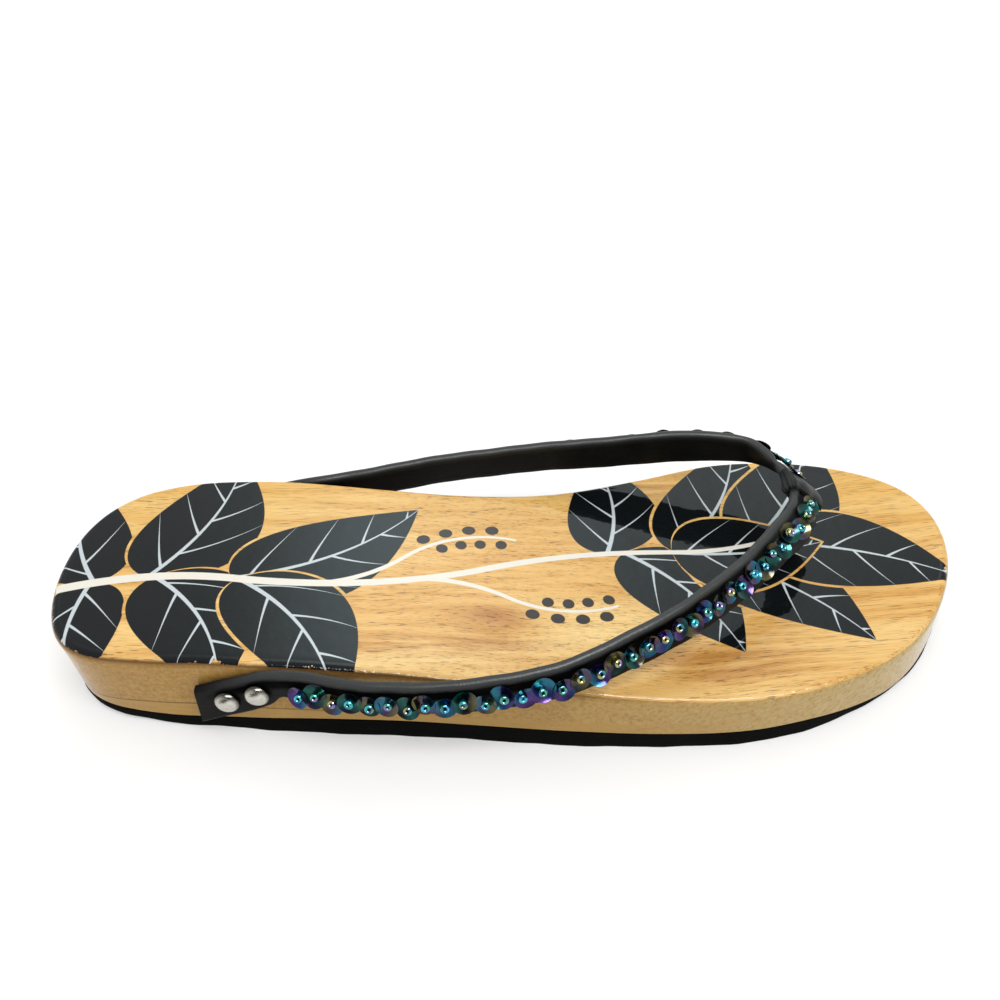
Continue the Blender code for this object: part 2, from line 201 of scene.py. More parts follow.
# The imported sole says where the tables' zero lies in the shared frame.
wood_low, wood_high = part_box("wooden_sole")
lateral_most = float(sole_edge(np.linspace(0, 1, 2001), -1).min())
ORIGIN = np.array([-wood_low.x / MM, lateral_most - wood_low.y / MM, 0.0])


def to_frame(points):
    """Points in the tables' millimetres as metres of the shared frame."""
    return (np.asarray(points, dtype=float) - ORIGIN) * MM


print("tables' zero lies at", np.round(-ORIGIN, 2), "mm of the shared frame")

# %% [markdown]
# ## Camera, floor and light
#
# The picture is taken from close by, a little above the shoe and square to its outer side. The lens and
# the viewing angle decide the perspective, so they are set first. A lacquered surface shows whatever it
# mirrors, so the light is a white room without edges: a sky that is brightest behind the shoe and darkest
# where the photographer stands. Two lamps in front give beads, nails and the rim their points of light.

# %% Camera
CAMERA_PLACE = (117.62, -222.53, 239.33)
CAMERA_LOOK = (0.0341, 0.74895, -0.66175)
CAMERA_LENS = 40.47
CAMERA_SHIFT = (-0.0291, 0.0063)

camera_data = bpy.data.cameras.new("camera")
camera_data.lens = CAMERA_LENS
camera_data.sensor_width = 36.0
camera_data.shift_x, camera_data.shift_y = CAMERA_SHIFT
camera_data.clip_start = 0.01
camera = bpy.data.objects.new("camera", camera_data)
camera.location = to_frame(CAMERA_PLACE)
camera.rotation_mode = "QUATERNION"
camera.rotation_quaternion = Vector(CAMERA_LOOK).to_track_quat("-Z", "Y")
bpy.context.scene.collection.objects.link(camera)
bpy.context.scene.camera = camera
bpy.context.scene.view_settings.view_transform = "Standard"


# %% Floor and lamps
FLOOR_HALF = 4.0
FLOOR_GREY = (0.55, 0.55, 0.55)
FLOOR_ROUGHNESS = 0.9
FLOOR_GLOW = 0.43

floor_mesh = bpy.data.meshes.new("floor")
floor_corners = [(x * FLOOR_HALF, y * FLOOR_HALF, 0.0) for x, y in ((-1, -1), (1, -1), (1, 1), (-1, 1))]
floor_mesh.from_pydata(floor_corners, [], [(0, 1, 2, 3)])
floor_look = bpy.data.materials.new("pale_floor")
floor_look.use_nodes = True
floor_shader = floor_look.node_tree.nodes["Principled BSDF"]
floor_shader.inputs["Base Color"].default_value = (*FLOOR_GREY, 1.0)
floor_shader.inputs["Roughness"].default_value = FLOOR_ROUGHNESS
floor_shader.inputs["Emission Color"].default_value = (1.0, 1.0, 1.0, 1.0)
floor_shader.inputs["Emission Strength"].default_value = FLOOR_GLOW
floor_mesh.materials.append(floor_look)
floor = bpy.data.objects.new("floor", floor_mesh)
bpy.context.scene.collection.objects.link(floor)
floor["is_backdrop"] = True

# Columns: name, place and size across and up in metres, power in watts, and whether it lights matt
# surfaces too or only shows in glossy ones. Both lamps look at the middle of the shoe's box on the floor.
LAMPS = (
    ("front_lamp", (0.10, -0.30, 0.75), (0.44, 0.09), 2.2, True),
    ("sparkle_lamp", (0.16, -0.32, 0.72), (0.70, 0.30), 14.0, False),
)
for lamp_name, place, (across, tall), power, on_matt in LAMPS:
    lamp_data = bpy.data.lights.new(lamp_name, "AREA")
    lamp_data.shape = "RECTANGLE"
    lamp_data.size, lamp_data.size_y = across, tall
    lamp_data.energy = power
    lamp = bpy.data.objects.new(lamp_name, lamp_data)
    lamp.location = place
    lamp.visible_diffuse = on_matt
    lamp.rotation_mode = "QUATERNION"
    lamp.rotation_quaternion = (-Vector(place)).to_track_quat("-Z", "Y")
    bpy.context.scene.collection.objects.link(lamp)
print("camera, floor and", len(LAMPS), "lamps are set")

# %% [markdown]
# ## Two small tools
#
# The first makes a mesh from rows of points: a tube, a plate or a turned shape is a grid of points that
# closes on itself. The second lets a node tree be written as a formula. A `Field` is a number that
# changes over a surface, and adding or multiplying fields adds Math nodes to the tree.


# %% Mesh from rows of points
def add_piece(name, points, faces, look, sharp=40.0):
    """A smooth-shaded mesh at the origin, with its place in its points, given in millimetres."""
    mesh = bpy.data.meshes.new(name)
    mesh.from_pydata(to_frame(points).tolist(), [], faces)
    shape = bmesh.new()
    shape.from_mesh(mesh)
    bmesh.ops.remove_doubles(shape, verts=shape.verts, dist=1e-7)
    bmesh.ops.recalc_face_normals(shape, faces=shape.faces)
    shape.to_mesh(mesh)
    shape.free()
    mesh.shade_smooth()
    mesh.set_sharp_from_angle(angle=math.radians(sharp))
    mesh.materials.append(look)
    made = bpy.data.objects.new(name, mesh)
    bpy.context.scene.collection.objects.link(made)
    return made


def wall_faces(rows, count, closed=False):
    """Quads between rings of the same count of points; closed joins the last ring to the first."""
    faces = []
    for level in range(rows if closed else rows - 1):
        a = level * count
        b = (level + 1) % rows * count
        faces.extend((a + i, a + (i + 1) % count, b + (i + 1) % count, b + i) for i in range(count))
    return faces


def add_tube(name, rings, look, sharp=40.0, closed=False):
    """Solid through the rings: its ends get a face each or, if closed, the last ring joins the first."""
    rings = np.asarray(rings, dtype=float)
    rows, count, _ = rings.shape
    faces = wall_faces(rows, count, closed)
    if not closed:
        faces.append(tuple(range(count - 1, -1, -1)))
        faces.append(tuple(range((rows - 1) * count, rows * count)))
    return add_piece(name, rings.reshape(-1, 3), faces, look, sharp)


def turned_rings(profile, sides):
    """Rings about Z for a profile of (height, radius), as a lathe would turn it."""
    turn = np.linspace(0.0, math.tau, sides, endpoint=False)
    circle = np.stack([np.cos(turn), np.sin(turn)], axis=1)
    return np.array([np.column_stack([r * circle, np.full(sides, height)]) for height, r in profile])


def mesh_points(made):
    """Points of a piece in millimetres of the shared frame."""
    return np.array([vert.co for vert in made.data.vertices]) / MM


def store(made, label, values):
    """Keep one number on each point of a piece, for its finish to read."""
    layer = made.data.attributes.new(label, "FLOAT", "POINT")
    layer.data.foreach_set("value", np.asarray(values, dtype=np.float32))


def hump(offset, half):
    """Smooth hump of height 1 that falls to about a third at half from its middle."""
    return np.exp(-((offset / half) ** 2))


def waves(table, at, phase=0.0):
    """Sum of slow waves, from rows of radians per millimetre, size and shift."""
    return sum(size * np.sin(pitch * at + shift + phase) for pitch, size, shift in table)


def cut(target, tool, operation="DIFFERENCE"):
    """Cut the tool from the target, or join it on, and drop the tool."""
    step = target.modifiers.new("cut", "BOOLEAN")
    step.operation = operation
    step.solver = "EXACT"
    step.object = tool
    graph = bpy.context.evaluated_depsgraph_get()
    result = bpy.data.meshes.new_from_object(target.evaluated_get(graph))
    target.modifiers.clear()
    target.data = result
    bpy.data.objects.remove(tool, do_unlink=True)


# %% Formulas as node trees
class Field:
    """A number that changes over a surface. Sums and products of fields become Math nodes."""

    def __init__(self, tree, socket):
        self.tree = tree
        self.socket = socket

    def calc(self, operation, *others, clamp=False):
        node = self.tree.nodes.new("ShaderNodeMath")
        node.operation = operation
        node.use_clamp = clamp
        for socket, value in zip(node.inputs, (self, *others)):
            feed(self.tree, socket, value)
        return Field(self.tree, node.outputs[0])

    def __add__(self, other):
        return self.calc("ADD", other)

    def __sub__(self, other):
        return self.calc("SUBTRACT", other)

    def __rsub__(self, other):
        return self.calc("MULTIPLY_ADD", -1.0, other)

    def __mul__(self, other):
        return self.calc("MULTIPLY", other)

    def __truediv__(self, other):
        return self.calc("DIVIDE", other)

    def __pow__(self, other):
        return self.calc("POWER", other)

    def __abs__(self):
        return self.calc("ABSOLUTE")

    def most(self, other):
        return self.calc("MAXIMUM", other)

    def least(self, other):
        return self.calc("MINIMUM", other)

    def step(self, low, high):
        """0 below low, 1 above high and a straight ramp between."""
        return self.calc("MULTIPLY_ADD", 1.0 / (high - low), -low / (high - low), clamp=True)


def feed(tree, socket, value):
    """Link a field or a socket to an input, or set the input's own value."""
    if isinstance(value, Field):
        tree.links.new(value.socket, socket)
    elif isinstance(value, bpy.types.NodeSocket):
        tree.links.new(value, socket)
    else:
        socket.default_value = value


def feed_all(tree, node, inputs):
    for label, value in inputs.items():
        feed(tree, node.inputs[label], value)


def add_node(tree, kind, inputs=None, **settings):
    node = tree.nodes.new(kind)
    for key, value in settings.items():
        setattr(node, key, value)
    feed_all(tree, node, inputs or {})
    return node


def vector(tree, x, y, z):
    return add_node(tree, "ShaderNodeCombineXYZ", {"X": x, "Y": y, "Z": z}).outputs[0]


def noise(tree, spot, scale, detail=2.0, rough=0.5):
    """Cloudy pattern at a spot; the scale is one number, or one for each axis, in waves per millimetre."""
    scales = (scale,) * 3 if isinstance(scale, float) else scale
    where = vector(tree, *(part * size for part, size in zip(spot, scales)))
    inputs = {"Vector": where, "Scale": 1.0, "Detail": detail, "Roughness": rough}
    return Field(tree, add_node(tree, "ShaderNodeTexNoise", inputs).outputs["Fac"])


def tint(tree, factor, first, second):
    """Mix of two colours, each a plain colour or a socket."""
    node = add_node(tree, "ShaderNodeMix", data_type="RGBA")
    feed(tree, node.inputs[0], factor)
    for socket, value in ((node.inputs[6], first), (node.inputs[7], second)):
        feed(tree, socket, (*value, 1.0) if isinstance(value, tuple) else value)
    return node.outputs[2]


def layered(tree, colour, layers):
    """Lay colours over a first one, each through its own mask."""
    for mask, over in layers:
        colour = tint(tree, mask, colour, over)
    return colour


def new_look(name):
    """A material with its tree, its shader and the surface's place in the tables' millimetres."""
    look = bpy.data.materials.new(name)
    look.use_nodes = True
    tree = look.node_tree
    place = add_node(tree, "ShaderNodeTexCoord").outputs["Object"]
    scaled = add_node(tree, "ShaderNodeVectorMath", operation="MULTIPLY_ADD")
    tree.links.new(place, scaled.inputs[0])
    scaled.inputs[1].default_value = (1.0 / MM,) * 3
    scaled.inputs[2].default_value = tuple(ORIGIN)
    parts = add_node(tree, "ShaderNodeSeparateXYZ", {"Vector": scaled.outputs[0]})
    spot = [Field(tree, socket) for socket in parts.outputs]
    return look, tree, tree.nodes["Principled BSDF"], spot


def bump(tree, height, strength, distance):
    inputs = {"Height": height, "Strength": strength, "Distance": distance}
    return add_node(tree, "ShaderNodeBump", inputs).outputs[0]


def attribute(tree, name):
    return Field(tree, add_node(tree, "ShaderNodeAttribute", attribute_name=name).outputs["Fac"])


# %% White room
ROOM_LIGHT = 1.02
ROOM_COLOUR = (1.0, 0.99, 0.975)
WINDOW_LIGHT = 4.2
WINDOW_COLOUR = (0.80, 1.0, 1.04)
WINDOW_WAY = (0.03, 0.70, 0.71)
WINDOW_SPREAD = 0.15
SHADE_WAY = (0.05, -0.69, 0.72)
SHADE_SPREAD = 0.36
SHADE_DEPTH = 0.95


def lobe(tree, way, middle, spread):
    """1 in the middle direction, falling off smoothly over the spread, in radians."""
    aim = Vector(middle).normalized()
    dot = add_node(tree, "ShaderNodeVectorMath", {0: way}, operation="DOT_PRODUCT")
    dot.inputs[1].default_value = aim
    return ((Field(tree, dot.outputs["Value"]) - 1.0) / spread**2).calc("EXPONENT")


def make_room():
    room = bpy.data.worlds.new("white_room")
    room.use_nodes = True
    tree = room.node_tree
    way = add_node(tree, "ShaderNodeTexCoord").outputs["Generated"]
    walls = tree.nodes["Background"]
    shade = 1.0 - lobe(tree, way, SHADE_WAY, SHADE_SPREAD) * SHADE_DEPTH
    feed_all(tree, walls, {"Color": (*ROOM_COLOUR, 1.0), "Strength": shade * ROOM_LIGHT})
    glow = lobe(tree, way, WINDOW_WAY, WINDOW_SPREAD) * WINDOW_LIGHT
    window = add_node(tree, "ShaderNodeBackground", {"Color": (*WINDOW_COLOUR, 1.0), "Strength": glow})
    both = add_node(tree, "ShaderNodeAddShader", {0: walls.outputs[0], 1: window.outputs[0]})
    tree.links.new(both.outputs[0], tree.nodes["World Output"].inputs["Surface"])
    return room


bpy.context.scene.world = make_room()
print("white room is lit")

# %% [markdown]
# ## The painted vine
#
# The footbed is hand painted: black leaves with white veins on a cream stem, and sprigs of dark berries.
# It could be an image, but a formula stays sharp at any distance and needs no file. One node group draws
# one leaf from its base, direction, length, width and bow. Calling it again draws the next leaf over the
# last and leaves a thin bare line between them, as a painter does. A second group draws a stroke along an
# arc, and a third puts berries on both sides of such an arc.


# %% One painted leaf
LINE_SOFTNESS = 0.14
LEAF_BARE_LINE = 0.9
LEAF_ROUND_BASE = 0.55
LEAF_POINTED_TIP = 1.0
LEAF_WIDEST = LEAF_ROUND_BASE / (LEAF_ROUND_BASE + LEAF_POINTED_TIP)
LEAF_FULLNESS = 1.0 / (LEAF_WIDEST**LEAF_ROUND_BASE * (1.0 - LEAF_WIDEST) ** LEAF_POINTED_TIP)
RIB_HALF_WIDTH = (0.62, 0.08)
VEIN_HALF_WIDTH = (0.36, 0.02)
VEINS_PER_LEAF = 3.6
VEIN_FORWARD = 0.85
VEIN_CURL = 0.022
VEIN_STAGGER = 0.2
VEIN_SLOPE = 0.75
VEIN_FIRST = (0.03, 0.06)
LEAST_HALF_WIDTH = 0.5
LEAF_INPUTS = ("X", "Y", "Base X", "Base Y", "Turn", "Length", "Width", "Bow", "Paint", "Line")


def soft(inside):
    """1 where the distance inside an edge is positive, with a thin soft rim."""
    return inside.calc("MULTIPLY_ADD", 1.0 / LINE_SOFTNESS, 0.5, clamp=True)


def new_group(name, given, made):
    tree = bpy.data.node_groups.new(name, "ShaderNodeTree")
    for side, names in (("INPUT", given), ("OUTPUT", made)):
        for label in names:
            tree.interface.new_socket(label, in_out=side, socket_type="NodeSocketFloat")
    start = tree.nodes.new("NodeGroupInput")
    end = tree.nodes.new("NodeGroupOutput")
    return tree, {label: Field(tree, start.outputs[label]) for label in given}, end


def make_leaf_group():
    tree, given, end = new_group("painted_leaf", LEAF_INPUTS, ("Paint", "Line"))
    x = given["X"] - given["Base X"]
    y = given["Y"] - given["Base Y"]
    cosine = given["Turn"].calc("COSINE")
    sine = given["Turn"].calc("SINE")
    along = (x * cosine + y * sine) / given["Length"]
    kept = along.most(0.0).least(1.0)
    left = 1.0 - kept
    across = y * cosine - x * sine - given["Bow"] * kept * left * 4.0
    off = abs(across)
    half = given["Width"] * (0.5 * LEAF_FULLNESS) * kept**LEAF_ROUND_BASE * left**LEAF_POINTED_TIP
    inside = half - off - abs(along - kept) * given["Length"]
    leaf = soft(inside)
    bare = 1.0 - soft(inside + LEAF_BARE_LINE)
    rib = soft(left * RIB_HALF_WIDTH[0] + RIB_HALF_WIDTH[1] - off)
    start = along - (off * VEIN_FORWARD + off * off * VEIN_CURL) / given["Length"]
    number = start * VEINS_PER_LEAF + across.calc("SIGN") * VEIN_STAGGER
    stray = abs(number.calc("FRACT") - 0.5) * given["Length"] * (VEIN_SLOPE / VEINS_PER_LEAF)
    reach = (1.0 - off / half.most(LEAST_HALF_WIDTH)).most(0.0)
    vein = soft(reach * VEIN_HALF_WIDTH[0] + VEIN_HALF_WIDTH[1] - stray) * start.step(*VEIN_FIRST)
    tree.links.new((given["Paint"] * bare).most(leaf).socket, end.inputs["Paint"])
    tree.links.new((given["Line"] * bare).most(rib.most(vein) * leaf).socket, end.inputs["Line"])
    return tree


leaf_group = make_leaf_group()

# %% One painted stroke and its berries
BERRY_RADIUS = 1.75
BERRY_PITCH = 6.2
BERRY_OFFSET = 2.7
BERRY_STRAY = 0.9
BERRY_STAGGER = 0.25
BERRY_SALT = 31.7
BERRIES_TO = 0.97
SHARP_STEP = 0.001
ARC_INPUTS = ("X", "Y", "Centre X", "Centre Y", "Radius", "Start", "Turn")
STROKE_INPUTS = (*ARC_INPUTS, "Width From", "Width To", "Stroke")
BERRY_INPUTS = (*ARC_INPUTS, "Berries From", "Berry")


def on_arc(given):
    """Distance off the arc, share of the way along it, and its length."""
    x = given["X"] - given["Centre X"]
    y = given["Y"] - given["Centre Y"]
    off = (x * x + y * y).calc("SQRT") - given["Radius"]
    sweep = abs(given["Turn"])
    angle = (y.calc("ARCTAN2", x) - given["Start"]) * given["Turn"].calc("SIGN")
    share = (angle / math.tau).calc("FRACT") * math.tau / sweep
    return off, share, sweep * given["Radius"]


def make_stroke_group():
    tree, given, end = new_group("painted_stroke", STROKE_INPUTS, ("Stroke",))
    off, share, length = on_arc(given)
    taper = given["Width From"] + (given["Width To"] - given["Width From"]) * share
    stroke = soft(taper * 0.5 - abs(off)) * soft((1.0 - share) * length)
    tree.links.new(given["Stroke"].most(stroke).socket, end.inputs["Stroke"])
    return tree


def make_berry_group():
    tree, given, end = new_group("painted_berries", BERRY_INPUTS, ("Berry",))
    off, share, length = on_arc(given)
    berry = given["Berry"]
    for side in (-1.0, 1.0):
        cell = (share * length / BERRY_PITCH + side * BERRY_STAGGER).calc("FLOOR")
        salted = {"W": cell + side * BERRY_SALT}
        chance = add_node(tree, "ShaderNodeTexWhiteNoise", salted, noise_dimensions="1D")
        sway = (Field(tree, chance.outputs["Value"]) - 0.5) * BERRY_STRAY
        middle = (cell + (0.5 - side * BERRY_STAGGER)) * BERRY_PITCH
        gone = (share * length - middle + sway) ** 2.0
        aside = (off - side * BERRY_OFFSET + sway) ** 2.0
        reached = middle / length
        begun = (reached - given["Berries From"]).step(-SHARP_STEP, 0.0)
        shown = begun * (BERRIES_TO - reached).step(0.0, SHARP_STEP)
        berry = berry.most(soft(BERRY_RADIUS - (gone + aside).calc("SQRT")) * shown)
    tree.links.new(berry.socket, end.inputs["Berry"])
    return tree


stroke_group = make_stroke_group()
berry_group = make_berry_group()
print("a leaf takes", len(leaf_group.nodes), "nodes and a stroke", len(stroke_group.nodes))

# %% [markdown]
# ## Where the leaves and sprigs go
#
# One vine runs the whole length of the footbed, from the heel's rim to the toe. Leaves leave it on
# alternate sides, large enough at the heel and forefoot to run off the edge of the wood. Between them the
# wood stays bare but for two berry sprigs. A stroke is written as a walk: a start, a heading, and arcs
# that turn left or right.

# %% Layout of the design
VINE_START = (1.0, -7.0)
VINE_HEADING = 13.0
VINE_ARCS = ((110.0, -25.0), (130.0, 30.0), (180.0, -17.0), (95.0, 26.0))
VINE_WIDTH = (3.0, 1.3)
# Columns: distance along the vine, side, angle away from the vine in degrees, length, width, bow.
LEAVES = (
    (10.0, 1, 96.0, 44.0, 28.0, 4.0),
    (9.0, -1, 92.0, 40.0, 27.0, -4.0),
    (24.0, 1, 68.0, 52.0, 33.0, -5.0),
    (26.0, -1, 60.0, 48.0, 31.0, 5.0),
    (47.0, 1, 40.0, 56.0, 31.0, -6.0),
    (49.0, -1, 46.0, 56.0, 29.0, 6.0),
    (151.0, 1, 84.0, 42.0, 27.0, -4.0),
    (156.0, -1, 58.0, 46.0, 27.0, 4.0),
    (171.0, 1, 62.0, 56.0, 31.0, -5.0),
    (175.0, -1, 42.0, 56.0, 29.0, 5.0),
    (193.0, 1, 46.0, 56.0, 32.0, -4.0),
    (196.0, -1, 34.0, 56.0, 31.0, 4.0),
    (213.0, 1, 4.0, 44.0, 30.0, -2.0),
)
# Columns: distance along the vine, heading away from it in degrees, arcs of (radius, turn in degrees),
# width from and to, and the share of the last arc after which berries show.
SPRIGS = (
    (72.0, 10.0, ((40.0, 34.0), (34.0, -56.0)), 1.7, 0.8, 0.22),
    (98.0, -10.0, ((46.0, -30.0), (34.0, 52.0)), 1.7, 0.8, 0.22),
)


def walk(spot, heading, arcs):
    """Each arc of a stroke as its centre, radius, start angle and turn."""
    spot = np.array(spot)
    heading = math.radians(heading)
    found = []
    for radius, turn in arcs:
        turn = math.radians(turn)
        sense = math.copysign(1.0, turn)
        normal = np.array([-math.sin(heading), math.cos(heading)]) * sense
        centre = spot + radius * normal
        start = heading - sense * math.pi / 2
        found.append((*centre, radius, start, turn))
        heading += turn
        spot = centre + radius * np.array([math.cos(start + turn), math.sin(start + turn)])
    return found


VINE = walk(VINE_START, VINE_HEADING, VINE_ARCS)


def on_vine(distance):
    """Place and heading, in degrees, at a distance along the vine."""
    for along, side, radius, start, turn in VINE:
        length = radius * abs(turn)
        if distance <= length:
            break
        distance -= length
    angle = start + math.copysign(distance / radius, turn)
    spot = (along + radius * math.cos(angle), side + radius * math.sin(angle))
    return spot, math.degrees(angle) + math.copysign(90.0, turn)


def call(tree, group, labels, values):
    node = add_node(tree, "ShaderNodeGroup", node_tree=group)
    for label, value in zip(labels, values):
        feed(tree, node.inputs[label], value)
    return node.outputs


def draw_design(tree, x, y):
    """Paint, line, stroke and berry masks of the whole design."""
    paint, line, stroke, berry = 0.0, 0.0, 0.0, 0.0
    for distance, side, away, length, width, bow in LEAVES:
        base, heading = on_vine(distance)
        turn = math.radians(heading + side * away)
        drawn = call(tree, leaf_group, LEAF_INPUTS, (x, y, *base, turn, length, width, bow, paint, line))
        paint, line = drawn["Paint"], drawn["Line"]
    strokes = [(VINE, *VINE_WIDTH)]
    for distance, away, arcs, width_from, width_to, berries in SPRIGS:
        base, heading = on_vine(distance)
        sprig = walk(base, heading + away, arcs)
        strokes.append((sprig, width_from, width_to))
        berry = call(tree, berry_group, BERRY_INPUTS, (x, y, *sprig[-1], berries, berry))["Berry"]
    for arcs, width_from, width_to in strokes:
        for k, arc in enumerate(arcs):
            widths = [width_from + (width_to - width_from) * (k + j) / len(arcs) for j in (0, 1)]
            stroke = call(tree, stroke_group, STROKE_INPUTS, (x, y, *arc, *widths, stroke))["Stroke"]
    return [Field(tree, mask) for mask in (paint, line, stroke, berry)]


print("the vine ends at", [round(c, 1) for c in on_vine(1000.0)[0]])

# %% [markdown]
# ## Lacquered wood
#
# The block is a honey-coloured wood with fine lengthwise fibres, short dark pores and a reddish knot,
# under a thick clear lacquer. Stretching noise along X gives fibres, a steeper stretch gives pores, and
# pulling the grain aside near one spot gives the knot. The lacquer is the shader's coat layer, with its
# own faint waviness, so that the grain's bump stays under a smooth gloss. Paint is worn off along the
# rim, which an attribute of the mesh measures.

# %% The wood's finish
KNOT = (117.0, -20.5)
KNOT_REACH = (9.5, 3.8)
KNOT_SOFTNESS = 0.3
KNOT_DRAW = 0.8
# Columns: middle and reach, each along and across.
RED_PATCHES = (((176.0, -36.0), (24.0, 5.0)), ((106.0, -31.0), (22.0, 5.0)), ((166.0, 33.0), (22.0, 4.0)))
GRAIN_SLANT = 0.03
GRAIN_SWAY = 9.0
TOE_GRAIN_FROM = 165.0
TOE_GRAIN_SLANT = 0.12
# Scales of the patterns, in waves per millimetre along, across and up.
SWAY_SCALE = (0.012, 0.03, 1.0)
BROAD_SCALE = (0.012, 0.075, 0.075)
FIGURE_SCALE = (0.016, 0.34, 0.34)
FIBRE_SCALE = (0.05, 2.6, 2.6)
PORE_SCALE = (0.13, 4.4, 4.4)
SIDE_FIBRE_SCALE = (0.05, 2.2, 2.2)
STREAK_SCALE = (0.03, 0.5, 0.9)
SANDED_SCALE = (0.9, 0.9, 0.5)
SANDED_SLANT = 1.4 / 0.9
SPECK_SCALE = 0.9
CHIP_SCALE = 0.22
DUST_SCALE = (1.5, 1.5, 1.0)
RIPPLE_SCALE = 0.16
DRIP_SCALE = 0.45
HONEY = (0.745, 0.455, 0.152)
AMBER = (0.570, 0.275, 0.056)
PALE = (0.860, 0.620, 0.268)
GOLD = (0.700, 0.420, 0.080)
RED_BROWN = (0.360, 0.130, 0.028)
PORE_BROWN = (0.130, 0.055, 0.016)
RIM_BROWN = (0.110, 0.045, 0.014)
JOINT_BROWN = (0.120, 0.060, 0.020)
WALL_TAN = (0.305, 0.165, 0.040)
WALL_PALE = (0.415, 0.255, 0.076)
WALL_GOLD = (0.390, 0.235, 0.066)
TOE_WALL = (0.430, 0.300, 0.112)
TOE_WALL_PALE = (0.560, 0.445, 0.232)
BLACK_PAINT = (0.0022, 0.0036, 0.0046)
SPECK_GREY = (0.100, 0.110, 0.110)
VEIN_WHITE = (0.560, 0.610, 0.635)
STEM_CREAM = (0.740, 0.700, 0.615)
BERRY_BROWN = (0.030, 0.019, 0.012)
LACQUER_IOR = 1.25
LACQUER_ROUGHNESS = 0.025
WALL_ROUGHNESS = 0.16
WOOD_ROUGHNESS = 0.5
WOOD_SHEEN = 0.02
CHIP_DEPTH = 1.3
PAINT_LOWEST = (12.0, 13.0)
DRIP_REACH = (0.8, 2.6)
DRIP_DEPTH = 8.0
RIM_LINE_PLACE = 0.45
RIM_LINE_FADE = (110.0, 165.0)
JOINT_HEIGHT = 9.6
JOINT_WAVE = 0.5
JOINT_HEEL_DROP = 3.5
JOINT_HEEL_REACH = (12.0, 40.0)


def patch(x, y, place, reach):
    """1 in the middle of an oval patch, falling off smoothly over its reach."""
    far = ((x - place[0]) / reach[0]) ** 2.0 + ((y - place[1]) / reach[1]) ** 2.0
    return (far * -1.0).calc("EXPONENT")


def wood_grain(tree, x, y, z):
    """Colour of the bare footbed, with its fibre and pore fields."""
    pull = patch(x, y, KNOT, KNOT_REACH)
    sway = noise(tree, (x, y, 3.0), SWAY_SCALE, 1.0)
    lane = y - (y - KNOT[1]) * pull**KNOT_SOFTNESS * KNOT_DRAW + x * GRAIN_SLANT
    lane = lane - (x - TOE_GRAIN_FROM).most(0.0) * TOE_GRAIN_SLANT + sway * GRAIN_SWAY
    broad = noise(tree, (x, lane, z), BROAD_SCALE, 3.0)
    figure = noise(tree, (x, lane, z), FIGURE_SCALE, 4.0, 0.62)
    fibre = noise(tree, (x, lane, z), FIBRE_SCALE, 4.0, 0.68)
    pores = noise(tree, (x, lane, z), PORE_SCALE, 2.0, 0.5)
    layers = (
        (figure.step(0.40, 0.66) * 0.85, AMBER),
        (broad.step(0.44, 0.66) * 0.8, PALE),
        (y.step(6.0, 36.0) * 0.4, GOLD),
        (fibre.step(0.46, 0.70) * 0.55, AMBER),
        *((patch(x, y, *stain) * figure.step(0.35, 0.58) * 0.75, RED_BROWN) for stain in RED_PATCHES),
        (pull * (figure.step(0.2, 0.6) * 0.4 + 0.4), RED_BROWN),
        (pores.step(0.59, 0.65) * figure.step(0.32, 0.54) * 0.85, PORE_BROWN),
    )
    return layered(tree, HONEY, layers), fibre, pores


def rim_line(tree, colour, edge, x, speck):
    """Dark brown line along the rim, speckled and fading out toward the toe, over a colour."""
    line = 1.0 - abs(edge - RIM_LINE_PLACE).step(0.10, 0.55)
    line = line * speck.step(0.22, 0.42) * (1.0 - x.step(*RIM_LINE_FADE))
    return tint(tree, line * 0.85, colour, RIM_BROWN)


def lacquer(tree, shader, colour, roughness):
    """Clear coat over a colour."""
    inputs = {
        "Base Color": colour,
        "Roughness": WOOD_ROUGHNESS,
        "Specular IOR Level": WOOD_SHEEN,
        "Coat Weight": 1.0,
        "Coat IOR": LACQUER_IOR,
        "Coat Roughness": roughness,
    }
    feed_all(tree, shader, inputs)


def make_footbed_look():
    look, tree, shader, spot = new_look("painted_footbed")
    x, y, z = spot
    edge = attribute(tree, "edge_distance")
    speck = noise(tree, spot, SPECK_SCALE, 3.0, 0.7)
    wood, fibre, pores = wood_grain(tree, x, y, z)
    wood = rim_line(tree, wood, edge, x, speck)

    # Paint lies on the footbed only, and is chipped where the rim gets knocked.
    paint, line, stroke, berry = draw_design(tree, x, y)
    chips = noise(tree, spot, CHIP_SCALE, 3.0, 0.65).step(0.56, 0.68) * CHIP_DEPTH
    held = (edge - chips + (speck - 0.5) * 0.5).step(0.30, 0.45) * z.step(*PAINT_LOWEST)
    dust = noise(tree, spot, DUST_SCALE, 1.0).step(0.80, 0.815) * 0.5
    layers = (
        (paint * held, tint(tree, dust, BLACK_PAINT, SPECK_GREY)),
        (line * held * 0.92, VEIN_WHITE),
        (stroke * held, STEM_CREAM),
        (berry * held, BERRY_BROWN),
    )
    lacquer(tree, shader, layered(tree, wood, layers), LACQUER_ROUGHNESS)
    ripple = noise(tree, spot, RIPPLE_SCALE, 2.0, 0.6)
    drips = noise(tree, spot, DRIP_SCALE, 2.0, 0.6)
    skin = ripple + drips * (1.0 - edge.step(*DRIP_REACH)) * DRIP_DEPTH
    feed(tree, shader.inputs["Normal"], bump(tree, fibre - pores * 0.5, 0.25, 0.0002))
    feed(tree, shader.inputs["Coat Normal"], bump(tree, skin, 0.12, 0.0006))
    return look


